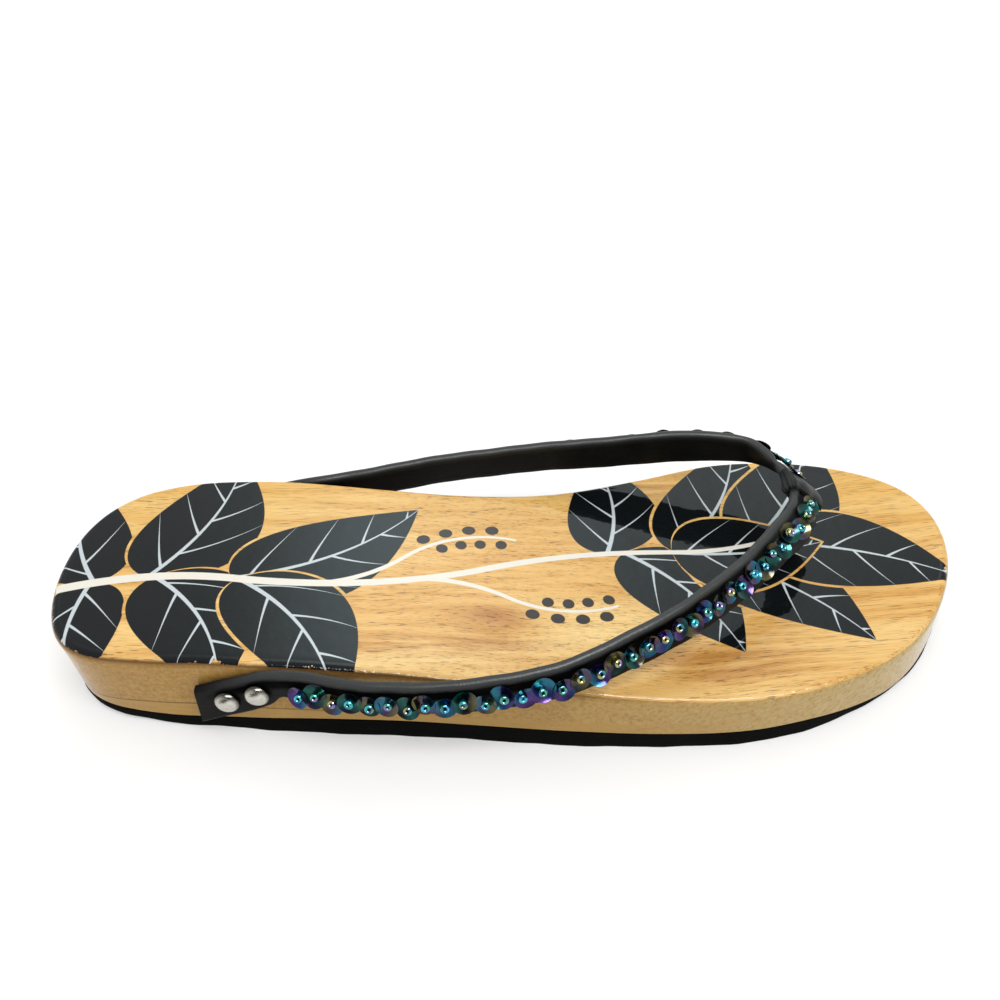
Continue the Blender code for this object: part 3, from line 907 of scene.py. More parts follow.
def make_side_look():
    """Sawn side: mottled tan, golden below the glued joint, pale and sanded round the toe."""
    look, tree, shader, spot = new_look("sawn_side")
    x, y, z = spot
    edge = attribute(tree, "edge_distance")
    speck = noise(tree, spot, SPECK_SCALE, 3.0, 0.7)
    fibre = noise(tree, spot, SIDE_FIBRE_SCALE, 4.0, 0.65)
    streak = noise(tree, spot, STREAK_SCALE, 3.0, 0.6)
    sanded = noise(tree, (x - z * SANDED_SLANT, y, z), SANDED_SCALE, 2.0, 0.6)
    toe = tint(tree, sanded.step(0.40, 0.66) * 0.5 + x.step(215.0, 245.0) * 0.5, TOE_WALL, TOE_WALL_PALE)
    rise = 1.0 - x.step(*JOINT_HEEL_REACH)
    joint = z - JOINT_HEIGHT - (streak - 0.5) * JOINT_WAVE + rise * rise * JOINT_HEEL_DROP
    below = (1.0 - joint.step(-0.15, 0.15)) * (1.0 - x.step(145.0, 185.0))
    seam = (1.0 - abs(joint).step(0.10, 0.38)) * (1.0 - x.step(70.0, 110.0))
    layers = (
        (speck.step(0.40, 0.60) * 0.7 + streak.step(0.40, 0.65) * 0.3, WALL_PALE),
        (x.step(115.0, 205.0) * speck.step(0.25, 0.50), toe),
        (below * (streak.step(0.30, 0.62) * 0.5 + 0.45), WALL_GOLD),
        (seam * 0.8, JOINT_BROWN),
        (fibre.step(0.50, 0.76) * 0.35, AMBER),
    )
    wall = layered(tree, WALL_TAN, layers)
    lacquer(tree, shader, rim_line(tree, wall, edge, x, speck), WALL_ROUGHNESS)
    feed(tree, shader.inputs["Normal"], bump(tree, fibre + speck, 0.3, 0.0002))
    return look


footbed_look = make_footbed_look()
side_look = make_side_look()
print("footbed finish has", len(footbed_look.node_tree.nodes), "nodes")

# %% [markdown]
# ## The wooden sole
#
# On the bench this block is bandsawn to the outline, and its top edge is rounded with sandpaper. The mesh
# is built the same way: rings of the outline, drawn in a little at a time to round the edge, with a ruled
# grid across the top and the bottom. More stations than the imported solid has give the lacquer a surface
# without facets. The slot for the toe post is cut right through.

# %% Rings of the outline
WOOD_STATIONS = 150
WOOD_ACROSS = 26
EDGE_STEPS = 8
RIM_DROP = 0.75
BELOW_RIM = -1.0


def outline(inset, stations):
    """Closed outline of the sole, moved inward by inset: heel, medial edge, toe, lateral edge."""
    share = 0.5 - 0.5 * np.cos(np.linspace(0.0, math.pi, stations + 1))
    medial = np.stack([share * SOLE_LENGTH, sole_edge(share, 1)], axis=1)
    lateral = np.stack([share * SOLE_LENGTH, sole_edge(share, -1)], axis=1)
    loop = np.concatenate([medial, lateral[-2:0:-1]])
    ahead = np.roll(loop, -1, axis=0) - loop
    behind = loop - np.roll(loop, 1, axis=0)
    ahead /= np.linalg.norm(ahead, axis=1)[:, None]
    behind /= np.linalg.norm(behind, axis=1)[:, None]
    run = ahead + behind
    run /= np.linalg.norm(run, axis=1)[:, None]
    inward = np.stack([run[:, 1], -run[:, 0]], axis=1)
    return loop + np.atleast_1d(inset)[:, None] * inward


def heel_rake(along):
    """How far the foot of the wall is drawn in: most behind the heel, fading out along the length."""
    left = np.clip(1.0 - np.asarray(along) / HEEL_RAKE_REACH, 0.0, 1.0)
    return HEEL_RAKE * left**2 * (3.0 - 2.0 * left)


def ring(inset, height, stations, foot=0.0):
    """Outline drawn in by inset, and by foot times the rake, at a height that follows the length."""
    loop = outline(inset + foot * heel_rake(outline(0.0, stations)[:, 0]), stations)
    return np.column_stack([loop, height(loop[:, 0])])


def stacked_rings(name, rings, across, low_height, high_height, look):
    """Solid through the rings, its two caps ruled across from edge to edge."""
    count = len(rings[0])
    half = count // 2
    verts = [tuple(v) for loop in rings for v in loop]
    faces = wall_faces(len(rings), count)
    for level, height in ((0, low_height), (len(rings) - 1, high_height)):
        base = level * count
        loop = np.asarray(rings[level])
        rows = [[base]]
        for i in range(1, half):
            spots = loop[i] + (loop[count - i] - loop[i]) * np.linspace(0, 1, across + 1)[1:-1, None]
            spots[:, 2] = height(spots[:, 0])
            rows.append([base + i, *range(len(verts), len(verts) + across - 1), base + count - i])
            verts.extend(map(tuple, spots))
        rows.append([base + half])
        for near, far in zip(rows[:-1], rows[1:]):
            if len(near) == 1:
                faces.extend((near[0], far[j], far[j + 1]) for j in range(across))
            elif len(far) == 1:
                faces.extend((near[j], near[j + 1], far[0]) for j in range(across))
            else:
                faces.extend((near[j], near[j + 1], far[j + 1], far[j]) for j in range(across))
    return add_piece(name, verts, faces, look)


def edge_distance(points):
    """Distance of points from the sole's outline, in plan."""
    loop = outline(0.0, 400)
    after = np.roll(loop, -1, axis=0) - loop
    best = np.full(len(points), np.inf)
    for start, run in zip(loop, after):
        gone = points[:, :2] - start
        share = np.clip(gone @ run / (run @ run), 0.0, 1.0)
        best = np.minimum(best, np.linalg.norm(gone - share[:, None] * run, axis=1))
    return best


# %% Sole block with its slot
POST_ALONG = 205.0
POST_SIDE = 13.0
POST_WIDTH = 8.0
POST_DEPTH = 4.4
FOOT_WIDTH = 14.0
FOOT_DEPTH = 10.0
FOOT_THICKNESS = 2.0
SLOT_SIDES = 40
CUT_BELOW = 5.0
CUT_ABOVE = 40.0


def oval(depth, width, sides):
    turn = np.linspace(0.0, math.tau, sides, endpoint=False)
    return np.stack([POST_ALONG + depth / 2 * np.cos(turn), POST_SIDE + width / 2 * np.sin(turn)], axis=1)


def rectangle(depth, width):
    corners = np.array([(-0.5, -0.5), (0.5, -0.5), (0.5, 0.5), (-0.5, 0.5)])
    return corners * (depth, width) + (POST_ALONG, POST_SIDE)


def prism(name, plan, low, high, look):
    rings = [np.column_stack([plan, np.full(len(plan), z)]) for z in (low, high)]
    return add_tube(name, rings, look)


def foot_seat():
    """Height of the wood's underside over the foot of the post, where it is highest."""
    return float(wood_bottom([POST_ALONG - FOOT_DEPTH / 2, POST_ALONG + FOOT_DEPTH / 2]).max())


def make_wooden_sole():
    rings = [ring(WALL_DRAFT, wood_bottom, WOOD_STATIONS, 1.0)]
    for share in (0.3, 0.7):
        middle = lambda along, share=share: wood_bottom(along) * (1.0 - share) + top_height(along) * share
        rings.append(ring(WALL_DRAFT * (1.0 - share), middle, WOOD_STATIONS, 1.0 - share))
    for turn in np.linspace(0.0, math.pi / 2, EDGE_STEPS):
        drop = TOP_EDGE_RADIUS * (1.0 - math.sin(turn))
        inset = TOP_EDGE_RADIUS * (1.0 - math.cos(turn))
        rings.append(ring(inset, lambda along, drop=drop: top_height(along) - drop, WOOD_STATIONS))
    wood = stacked_rings("wood_block", rings, WOOD_ACROSS, wood_bottom, top_height, footbed_look)
    low = foot_seat()
    gap = 2 * PIECE_GAP
    slot = oval(POST_DEPTH + gap, POST_WIDTH + gap, SLOT_SIDES)
    cut(wood, prism("slot", slot, low - CUT_BELOW, low + CUT_ABOVE, footbed_look))
    recess = rectangle(FOOT_DEPTH + gap, FOOT_WIDTH + gap)
    cut(wood, prism("recess", recess, low - CUT_BELOW, low + FOOT_THICKNESS + gap, footbed_look))
    wood.data.set_sharp_from_angle(angle=math.radians(40.0))
    places = mesh_points(wood) + ORIGIN
    drop = top_height(places[:, 0]) - places[:, 2]
    reach = np.where(drop > TOP_EDGE_RADIUS + 0.05, BELOW_RIM, edge_distance(places))
    store(wood, "edge_distance", reach)
    wood.data.materials.append(side_look)
    for face in wood.data.polygons:
        if face.normal.z < -0.5 or np.mean(drop[list(face.vertices)]) > RIM_DROP:
            face.material_index = 1
    return wood


wood_block = make_wooden_sole()
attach(wood_block, "root")
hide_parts("wooden_sole")
print("wooden sole:", len(wood_block.data.polygons), "faces")

# %% [markdown]
# ## The rubber outsole
#
# A sheet of black rubber is glued under the wood and trimmed by knife, so its edge is matt and a little
# uneven. The same rings make it, with a slow waviness along the cut. Its underside has a fine pebble that
# is too small for geometry, so a bump gives it.


# %% Outsole
OUTSOLE_STATIONS = 150
OUTSOLE_EDGE_RADIUS = 0.4
OUTSOLE_ACROSS = 12
CUT_WAVES = ((0.11, 0.16, 0.0), (0.31, 0.10, 1.7), (0.67, 0.05, 4.1))
# Shares of the edge radius: inset and height of the rings that round the lower edge.
EDGE_SHARES = ((1.0, 0.0), (0.3, 0.3), (0.0, 1.0))
RUBBER_BLACK = (0.0012, 0.0013, 0.0011)
RUBBER_SCUFFED = (0.0038, 0.0040, 0.0034)
PEBBLE_SCALE = 2.2
SCUFF_SCALE = (0.12, 0.12, 0.9)


def make_rubber_look():
    look, tree, shader, spot = new_look("black_rubber")
    pebble = noise(tree, spot, PEBBLE_SCALE, 3.0, 0.6)
    scuff = noise(tree, spot, SCUFF_SCALE, 4.0, 0.7)
    inputs = {
        "Base Color": tint(tree, scuff.step(0.45, 0.75), RUBBER_BLACK, RUBBER_SCUFFED),
        "Roughness": scuff * 0.25 + 0.62,
        "Specular IOR Level": 0.03,
        "Normal": bump(tree, pebble, 0.5, 0.0003),
    }
    feed_all(tree, shader, inputs)
    return look


def make_outsole():
    plan = outline(0.0, OUTSOLE_STATIONS)
    path = np.concatenate([[0.0], np.cumsum(np.linalg.norm(np.diff(plan, axis=0), axis=1))])
    low_wave = waves(CUT_WAVES, path)
    high_wave = waves(CUT_WAVES, path, 0.6) * 0.7
    rings = []
    for inset, rise in EDGE_SHARES:
        height = lambda along, rise=rise: floor_height(along) + OUTSOLE_EDGE_RADIUS * rise
        drawn_in = WALL_DRAFT + OUTSOLE_EDGE_RADIUS * inset + low_wave
        rings.append(ring(drawn_in, height, OUTSOLE_STATIONS, 1.0))
    rings.append(ring(WALL_DRAFT + high_wave, outsole_top, OUTSOLE_STATIONS, 1.0))
    look = make_rubber_look()
    return stacked_rings("rubber_outsole", rings, OUTSOLE_ACROSS, floor_height, outsole_top, look)


rubber_outsole = make_outsole()
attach(rubber_outsole, "root")
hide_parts("outsole")
print("outsole:", len(rubber_outsole.data.polygons), "faces")

# %% [markdown]
# ## The strap
#
# The strap is a strip of soft black leather, folded so that its upper edge is a smooth roll, and it stands
# on edge from one side of the shoe round the toe post to the other. Sweeping one cross-section along the
# strap's middle line follows that fold exactly. A groove runs below the roll, the end tabs narrow at a
# neck behind the beads, and a few soft creases are placed where the leather bends.

# %% The strap's line
def strap_line():
    """Strap rows set out by distance along the band: distance, position, lean, width."""
    rows = []
    rest = PIECE_GAP + STRAP_THICKNESS / 2
    for table, side in ((STRAP_LATERAL, -1), ((STRAP_APEX,), 0), (STRAP_MEDIAL, 1)):
        for along, place, height, lean, width in table:
            if place is WALL:
                place = float(sole_edge(along / SOLE_LENGTH, side)[0]) + side * rest
            rows.append((along, place, height, lean, width))
    rows = np.array(rows)
    distance = np.concatenate([[0.0], np.cumsum(np.linalg.norm(np.diff(rows[:, :3], axis=0), axis=1))])
    return np.column_stack([distance, rows])


LINE = strap_line()
STRAP_LENGTH = float(LINE[-1, 0])
APEX = float(LINE[len(STRAP_LATERAL), 0])


def strap_frame(at):
    """Centre, run, up and out directions and width of the strap at distances along it."""
    at = np.atleast_1d(np.asarray(at, dtype=float))
    value = smooth(LINE, at)
    centre, lean, width = value[:, :3], np.radians(value[:, 3:4]), value[:, 4]
    nudge = 0.4
    run = smooth(LINE, at + nudge)[:, :3] - smooth(LINE, at - nudge)[:, :3]
    run /= np.linalg.norm(run, axis=1)[:, None]
    out = np.cross(run, [0.0, 0.0, 1.0])
    out /= np.linalg.norm(out, axis=1)[:, None]
    up = np.cross(out, run)
    face_up = up * np.cos(lean) - out * np.sin(lean)
    face_out = out * np.cos(lean) + up * np.sin(lean)
    return centre, run, face_up, face_out, width


# %% The strap's finish
LEATHER_BLACK = (0.0026, 0.0028, 0.0028)
LEATHER_WORN = (0.0065, 0.0066, 0.0062)
# Grey of the painted highlight on the roll's top and on the strap face near the apex.
LEATHER_PAINTED_HIGHLIGHT = (0.0260, 0.0285, 0.0285)


LEATHER_GRAIN = 1.9
FINE_SCALE = 5.0
WEAR_SCALE = 0.12
# Stretch of the strap face near the apex that gets a painted highlight.
APEX_HIGHLIGHT_ALONG = (160.0, 198.0)
APEX_HIGHLIGHT_SIDE = (13.0, 22.0)


def make_leather_look():
    look, tree, shader, spot = new_look("black_leather")
    x, y, z = spot
    where = vector(tree, *(part * LEATHER_GRAIN for part in spot))
    cells = add_node(tree, "ShaderNodeTexVoronoi", {"Vector": where, "Scale": 1.0}, feature="SMOOTH_F1")
    pebble = Field(tree, cells.outputs["Distance"])
    fine = noise(tree, spot, FINE_SCALE, 3.0, 0.6)
    wear = noise(tree, spot, WEAR_SCALE, 4.0, 0.6)
    # Painted highlight: the roll mask lightens the roll's top band to grey and raises its gloss there, and
    # lowers the gloss in the groove below it as painted shade.
    roll = attribute(tree, "roll")
    # Painted highlight: the face near the apex is made lighter grey, as if it caught more light.
    apex_highlight = x.step(*APEX_HIGHLIGHT_ALONG) * (1.0 - y.step(*APEX_HIGHLIGHT_SIDE))
    layers = (
        (wear.step(0.40, 0.72), LEATHER_WORN),
        (roll.step(0.0, 1.0).most(apex_highlight) * 0.8, LEATHER_PAINTED_HIGHLIGHT),
    )
    inputs = {
        "Base Color": layered(tree, LEATHER_BLACK, layers),
        "Roughness": wear * 0.20 + fine * 0.12 + 0.26,
        "Specular IOR Level": (roll * 0.22 + 0.07).most(0.0),
        "Normal": bump(tree, pebble * 0.6 + fine * 0.4, 0.35, 0.00025),
    }
    feed_all(tree, shader, inputs)
    return look


leather_look = make_leather_look()

# %% Sweep the strap
STRAP_STEP = 0.9
ROLL_RADIUS = 1.3
FOOT_RADIUS = 0.9
ROLL_BAND = 1.7
GROOVE_BELOW = 3.4
GROOVE_DEPTH = 0.45
GROOVE_HALF_WIDTH = 1.0
NECK_HALF_LENGTH = 3.4
NECK_DEPTH = 2.5
NECK_FROM_END = 24.0
TAB_LENGTH = 26.0
TAB_SQUARE = 14.0
STRAP_WAVES = ((0.21, 0.10, 0.0), (0.53, 0.06, 1.0))
# Columns: distance from the apex, slant per millimetre of height, depth, half length.
CREASES = (
    (-17.0, 0.5, 0.22, 2.0),
    (-10.5, -0.4, 0.30, 1.3),
    (-7.0, 0.3, 0.22, 1.0),
    (7.5, -0.3, 0.35, 1.1),
    (10.0, 0.5, 0.30, 1.2),
    (14.5, -0.6, 0.28, 1.6),
    (23.0, 0.5, 0.18, 2.4),
    (-62.0, 0.7, 0.14, 3.5),
    (58.0, -0.6, 0.16, 3.0),
)


def strap_section(width, neck, folded):
    """Outline of the band in (up, out) offsets, its foot drawn up by neck; folded is 0 on the flat tabs."""
    half, deep = width / 2, STRAP_THICKNESS / 2
    roll = np.linspace(math.pi, 0.0, 13)
    points = [(half - ROLL_RADIUS + ROLL_RADIUS * math.sin(a), deep * math.cos(a)) for a in roll]
    top, foot = half - ROLL_RADIUS, -half + FOOT_RADIUS + neck
    for share in np.linspace(0.0, 1.0, 15)[1:-1]:
        up = top + (foot - top) * share
        groove = folded * GROOVE_DEPTH * hump(half - GROOVE_BELOW - up, GROOVE_HALF_WIDTH)
        points.append((up, deep - groove))
    for a in np.linspace(0.0, math.pi, 9):
        points.append((foot - FOOT_RADIUS * math.sin(a), deep * math.cos(a)))
    for share in np.linspace(0.0, 1.0, 9)[1:-1]:
        points.append((foot + (top - foot) * share, -deep))
    return np.array(points)


def crease_depth(at, up):
    """How far the leather is drawn in at a distance along the strap and a height on it."""
    gone = at - APEX
    return sum(depth * hump(gone - place - slant * up, half) for place, slant, depth, half in CREASES)


def ease(share):
    share = min(max(share, 0.0), 1.0)
    return share * share * (3.0 - 2.0 * share)


def make_strap():
    at = np.linspace(0.0, STRAP_LENGTH, int(STRAP_LENGTH / STRAP_STEP) + 1)
    centre, run, face_up, face_out, width = strap_frame(at)
    rings, roll_highlight_masks = [], []
    for k in range(len(at)):
        from_end = min(at[k], STRAP_LENGTH - at[k])
        neck = NECK_DEPTH * hump(from_end - NECK_FROM_END, NECK_HALF_LENGTH)
        folded = ease(from_end / TAB_LENGTH)
        section = strap_section(width[k], neck, folded)
        square = ease(from_end / TAB_SQUARE)
        up_way = face_up[k] * square + np.array([0.0, 0.0, 1.0]) * (1.0 - square)
        up, out = section[:, 0], section[:, 1]
        drawn = crease_depth(at[k], up) * np.sign(out) * np.minimum(np.abs(out), 1.0)
        wobble = waves(STRAP_WAVES, at[k])
        rings.append(centre[k] + up[:, None] * up_way + (out - drawn + wobble)[:, None] * face_out[k])
        below = width[k] / 2 - up
        groove = hump(below - GROOVE_BELOW, GROOVE_HALF_WIDTH) * (out > 0)
        # Painted highlight mask: 1 on the roll's top band, below 0 in the groove, where it dims the gloss as
        # painted shade.
        roll_highlight_masks.append(folded * (np.clip(ROLL_BAND - below, 0.0, 1.0) - groove))
    strap = add_tube("leather_strap", rings, leather_look, 50.0)
    store(strap, "roll", np.concatenate(roll_highlight_masks))
    return strap


leather_strap = make_strap()
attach(leather_strap, "root")
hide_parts("strap")
print("strap:", round(STRAP_LENGTH, 1), "mm long,", len(leather_strap.data.polygons), "faces")

# %% [markdown]
# ## The toe post
#
# A strip of the same leather is looped round the strap's front and both its ends go down through the
# slot, so the loop is gathered into small pleats and the post below it is folded. The loop is the strap's
# own section grown outward, with ripples round it, and its lower hem zigzags. The post is an oval with
# vertical folds, joined to the loop and to its foot under the wood.

# %% Loop, post and foot
LOOP_REACH = (3.1, 7.5)
LOOP_WALL = 1.0
LOOP_THINNING = 0.85
LOOP_FOOT_THINNING = 0.6
HEM_SLANT = 0.8
LOOP_RINGS = 15
PLEATS = 15
PLEAT_DEPTH = 0.30
HEM_TOOTH = 0.45
POST_FOLDS = 7
POST_FOLD_DEPTH = 0.32
POST_SIDES = 84
POST_LEVELS = 14
LOOP_SHARP = 60.0


def loop_outline(width, grow, count):
    """Rounded band outline in (up, out) offsets, evenly spaced, grown outward."""
    half, deep = width / 2 + grow, STRAP_THICKNESS / 2 + grow
    radius = min(deep, 1.1 + grow)
    turn = np.linspace(0.0, math.tau, count, endpoint=False)
    up, out = np.sin(turn), np.cos(turn)
    lift = np.clip(up * half * 1.6, -(half - radius), half - radius)
    side = np.clip(out * deep * 1.6, -(deep - radius), deep - radius)
    return np.stack([lift + radius * up, side + radius * out], axis=1)


def make_toe_post():
    count = PLEATS * 8
    turn = np.linspace(0.0, math.tau, count, endpoint=False)
    pleat = 0.6 * np.sin(turn * PLEATS) + 0.4 * np.sin(turn * (PLEATS - 4) + 0.8)
    shares = np.linspace(-1.0, 1.0, LOOP_RINGS)
    rings = []
    rise = loop_outline(STRAP_APEX[4], 0.0, count)[:, 0] / (STRAP_APEX[4] / 2)
    wall = LOOP_WALL * (1.0 - LOOP_FOOT_THINNING * np.clip(-np.sin(turn), 0.0, 1.0))
    for sign in (1, -1):
        for share in shares * sign:
            left = 1.0 - LOOP_THINNING * ease(share)
            slant = HEM_SLANT * max(-share, 0.0) * (1.0 - rise)
            tooth = HEM_TOOTH * pleat * share**2 * math.copysign(left, share)
            at = APEX + share * LOOP_REACH[int(share > 0)] + slant + tooth
            centre, run, face_up, face_out, width = strap_frame(at)
            grow = np.full(count, PIECE_GAP * left)
            if sign < 0:
                grow += wall * (left + 0.35 * (1.0 - share**2))
                grow += PLEAT_DEPTH * pleat * (0.35 + 0.65 * abs(share)) * left
            section = np.array([loop_outline(width[j], grow[j], count)[j] for j in range(count)])
            rings.append(centre + section[:, :1] * face_up + section[:, 1:] * face_out)
    loop = add_tube("gathered_post", rings, leather_look, LOOP_SHARP, closed=True)

    foot_low = foot_seat() + PIECE_GAP
    high = float(STRAP_APEX[2]) - 4.0
    column = []
    turn = np.linspace(0.0, math.tau, POST_SIDES, endpoint=False)
    middle = np.array([POST_ALONG, POST_SIDE])
    plan = oval(POST_DEPTH, POST_WIDTH, POST_SIDES) - middle
    for z in np.linspace(foot_low + 1.0, high, POST_LEVELS):
        twist = 0.25 * math.sin(z * 0.35)
        fold = 1.0 - POST_FOLD_DEPTH * (0.5 + 0.5 * np.sin(turn * POST_FOLDS + twist)) / (POST_DEPTH / 2)
        column.append(np.column_stack([middle + plan * fold[:, None], np.full(POST_SIDES, z)]))
    cut(loop, add_tube("column", column, leather_look), "UNION")
    foot = rectangle(FOOT_DEPTH, FOOT_WIDTH)
    cut(loop, prism("foot", foot, foot_low, foot_low + FOOT_THICKNESS, leather_look), "UNION")
    loop.data.set_sharp_from_angle(angle=math.radians(LOOP_SHARP))
    return loop


gathered_post = make_toe_post()
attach(gathered_post, "root")
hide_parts("toe_post")
print("toe post:", len(gathered_post.data.polygons), "faces")

# %% [markdown]
# ## Dome nails
#
# Two bright dome nails hold each end of the strap to the wood. One nail is turned as a profile, and a
# Geometry Nodes tree puts a copy on each of four points, turned to face outward, with a small random
# scale. The tree ends by making the copies real, because the model that leaves Blender keeps no instances.

# %% One turned nail
NAIL_HEAD_DIAMETER = 6.6
NAIL_HEAD_HEIGHT = 2.0
NAIL_SHANK_DIAMETER = 1.6
NAIL_SHANK_LENGTH = 11.0
NAIL_SIDES = 40
# Columns: side, along.
NAILS = ((-1, 50.2), (-1, 58.2), (1, 52.2), (1, 60.2))
# Dark colour of painted reflections: a ring at each dome's edge and a patch above its middle.
PAINTED_DARK_REFLECTION = (0.040, 0.037, 0.028)
DARK_REFLECTION_PLACE = (0.7, 1.9)
DARK_REFLECTION_REACH = (1.9, 0.75)


STEEL_BRIGHT = (0.62, 0.605, 0.55)
STEEL_SCRATCHED = (0.38, 0.365, 0.32)
SCRATCH_SCALE = (1.2, 1.2, 6.0)
HEAD_LIP = 0.15
DOME_STEPS = 14


def make_steel_look():
    look, tree, shader, spot = new_look("bright_steel")
    scratch = noise(tree, spot, SCRATCH_SCALE, 4.0, 0.7)
    dark_reflection_patch = attribute(tree, "dark_reflection_patch") + (scratch - 0.5) * 0.9
    # Over the scratches, the rim ring and the patch are painted dark reflections of the surroundings.
    layers = (
        (scratch.step(0.35, 0.75), STEEL_SCRATCHED),
        (attribute(tree, "rim").step(0.72, 0.96) * 0.95, PAINTED_DARK_REFLECTION),
        (dark_reflection_patch.step(0.25, 0.95) * 0.95, PAINTED_DARK_REFLECTION),
    )
    inputs = {
        "Base Color": layered(tree, STEEL_BRIGHT, layers),
        "Metallic": 1.0,
        "Roughness": scratch * 0.16 + 0.03,
        "Normal": bump(tree, scratch, 0.18, 0.0003),
    }
    feed_all(tree, shader, inputs)
    return look


def make_nail():
    shank = NAIL_SHANK_DIAMETER / 2
    head = NAIL_HEAD_DIAMETER / 2
    tip = -NAIL_SHANK_LENGTH
    profile = [(tip, shank * 0.3), (tip + 2.0, shank), (0.0, shank), (0.0, head * 0.93)]
    for turn in np.linspace(0.0, math.pi / 2, DOME_STEPS)[:-1]:
        rise = HEAD_LIP + (NAIL_HEAD_HEIGHT - HEAD_LIP) * math.sin(turn)
        profile.append((rise, head * math.cos(turn) ** 0.9))
    nail = add_tube("nail", turned_rings(profile, NAIL_SIDES) + ORIGIN, make_steel_look())
    x, y, z = mesh_points(nail).T
    # Painted dark reflection: a patch above the dome's middle, with the rim share for a dark ring at its
    # edge.
    aside = hump(x - DARK_REFLECTION_PLACE[0], DARK_REFLECTION_REACH[0])
    store(nail, "rim", np.hypot(x, y) / head)
    store(nail, "dark_reflection_patch", aside * hump(y - DARK_REFLECTION_PLACE[1], DARK_REFLECTION_REACH[1]))
    return nail


# %% A tree that seats copies on points
def seat_mesh(name, points, outs, runs, ups, joined):
    """Points in the shared frame with the outward, lengthwise and upward direction of each as attributes."""
    mesh = bpy.data.meshes.new(name)
    links = [(k, k + 1) for k in range(len(points) - 1)] if joined else []
    mesh.from_pydata(to_frame(points).tolist(), links, [])
    for label, values in (("out", outs), ("run", runs), ("up", ups)):
        layer = mesh.attributes.new(label, "FLOAT_VECTOR", "POINT")
        layer.data.foreach_set("vector", np.asarray(values, dtype=np.float32).ravel())
    made = bpy.data.objects.new(name, mesh)
    bpy.context.scene.collection.objects.link(made)
    return made


def geometry_tree(name, inputs):
    tree = bpy.data.node_groups.new(name, "GeometryNodeTree")
    tree.interface.new_socket("Geometry", in_out="INPUT", socket_type="NodeSocketGeometry")
    tree.interface.new_socket("Geometry", in_out="OUTPUT", socket_type="NodeSocketGeometry")
    for label, kind in inputs:
        tree.interface.new_socket(label, in_out="INPUT", socket_type=kind)
    start = tree.nodes.new("NodeGroupInput")
    end = tree.nodes.new("NodeGroupOutput")
    return tree, start.outputs, end.inputs["Geometry"]


def named_vector(tree, name):
    node = add_node(tree, "GeometryNodeInputNamedAttribute", {"Name": name}, data_type="FLOAT_VECTOR")
    return node.outputs["Attribute"]


def facing(tree):
    """Rotation whose Z looks along the seat's outward direction and X along its run."""
    inputs = {"Primary Axis": named_vector(tree, "out"), "Secondary Axis": named_vector(tree, "run")}
    node = add_node(tree, "FunctionNodeAxesToRotation", primary_axis="Z", secondary_axis="X")
    for socket, value in zip(node.inputs, inputs.values()):
        tree.links.new(value, socket)
    return node.outputs[0]


def random_value(tree, low, high, seed, kind="FLOAT"):
    node = add_node(tree, "FunctionNodeRandomValue", data_type=kind)
    for label, value in (("Min", low), ("Max", high), ("Seed", seed)):
        socket = next(s for s in node.inputs if s.name == label and s.enabled)
        feed(tree, socket, value)
    return next(s for s in node.outputs if s.enabled)


def object_geometry(tree, source):
    return add_node(tree, "GeometryNodeObjectInfo", {"Object": source}).outputs["Geometry"]


def finished(tree, geometry, material):
    real = add_node(tree, "GeometryNodeRealizeInstances", {"Geometry": geometry}).outputs[0]
    inputs = {"Geometry": real, "Material": material}
    return add_node(tree, "GeometryNodeSetMaterial", inputs).outputs[0]


def run_tree(tree, carrier, values, name):
    """Give the carrier's tree its input values, by identifier, and keep the result as a plain mesh."""
    step = carrier.modifiers.new(tree.name, "NODES")
    step.node_group = tree
    for item in tree.interface.items_tree:
        if item.in_out == "INPUT" and item.name in values:
            step[item.identifier] = values[item.name]
    graph = bpy.context.evaluated_depsgraph_get()
    mesh = bpy.data.meshes.new_from_object(carrier.evaluated_get(graph))
    mesh.name = name
    made = bpy.data.objects.new(name, mesh)
    bpy.context.scene.collection.objects.link(made)
    carrier.modifiers.clear()
    bpy.data.objects.remove(carrier, do_unlink=True)
    return made


# %% Nails on their seats
def nail_tree():
    inputs = (("Nail", "NodeSocketObject"), ("Steel", "NodeSocketMaterial"), ("Seed", "NodeSocketInt"))
    tree, given, end = geometry_tree("dome_nails", inputs)
    size = random_value(tree, 0.98, 1.02, given["Seed"])
    seated = {
        "Points": given["Geometry"],
        "Instance": object_geometry(tree, given["Nail"]),
        "Rotation": facing(tree),
        "Scale": size,
    }
    seats = add_node(tree, "GeometryNodeInstanceOnPoints", seated)
    tree.links.new(finished(tree, seats.outputs[0], given["Steel"]), end)
    return tree


def make_nails():
    at = np.linspace(0.0, STRAP_LENGTH, 4000)
    centre, run, face_up, face_out, width = strap_frame(at)
    points, outs, runs, ups = [], [], [], []
    for side, along in NAILS:
        branch = np.where(centre[:, 1] * side > 0, np.abs(centre[:, 0] - along), np.inf)
        k = int(np.argmin(branch))
        points.append(centre[k] + face_out[k] * (STRAP_THICKNESS / 2 + PIECE_GAP))
        outs.append(face_out[k])
        runs.append(run[k])
        ups.append(face_up[k])
    nail = make_nail()
    carrier = seat_mesh("nail_seats", points, outs, runs, ups, joined=False)
    values = {"Nail": nail, "Steel": nail.data.materials[0], "Seed": 3}
    made = run_tree(nail_tree(), carrier, values, "dome_nails")
    bpy.data.objects.remove(nail, do_unlink=True)
    return made


dome_nails = make_nails()
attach(dome_nails, "root")
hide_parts("nail_lateral_rear", "nail_lateral_front", "nail_medial_rear", "nail_medial_front")
print("nails:", len(dome_nails.data.polygons), "faces")

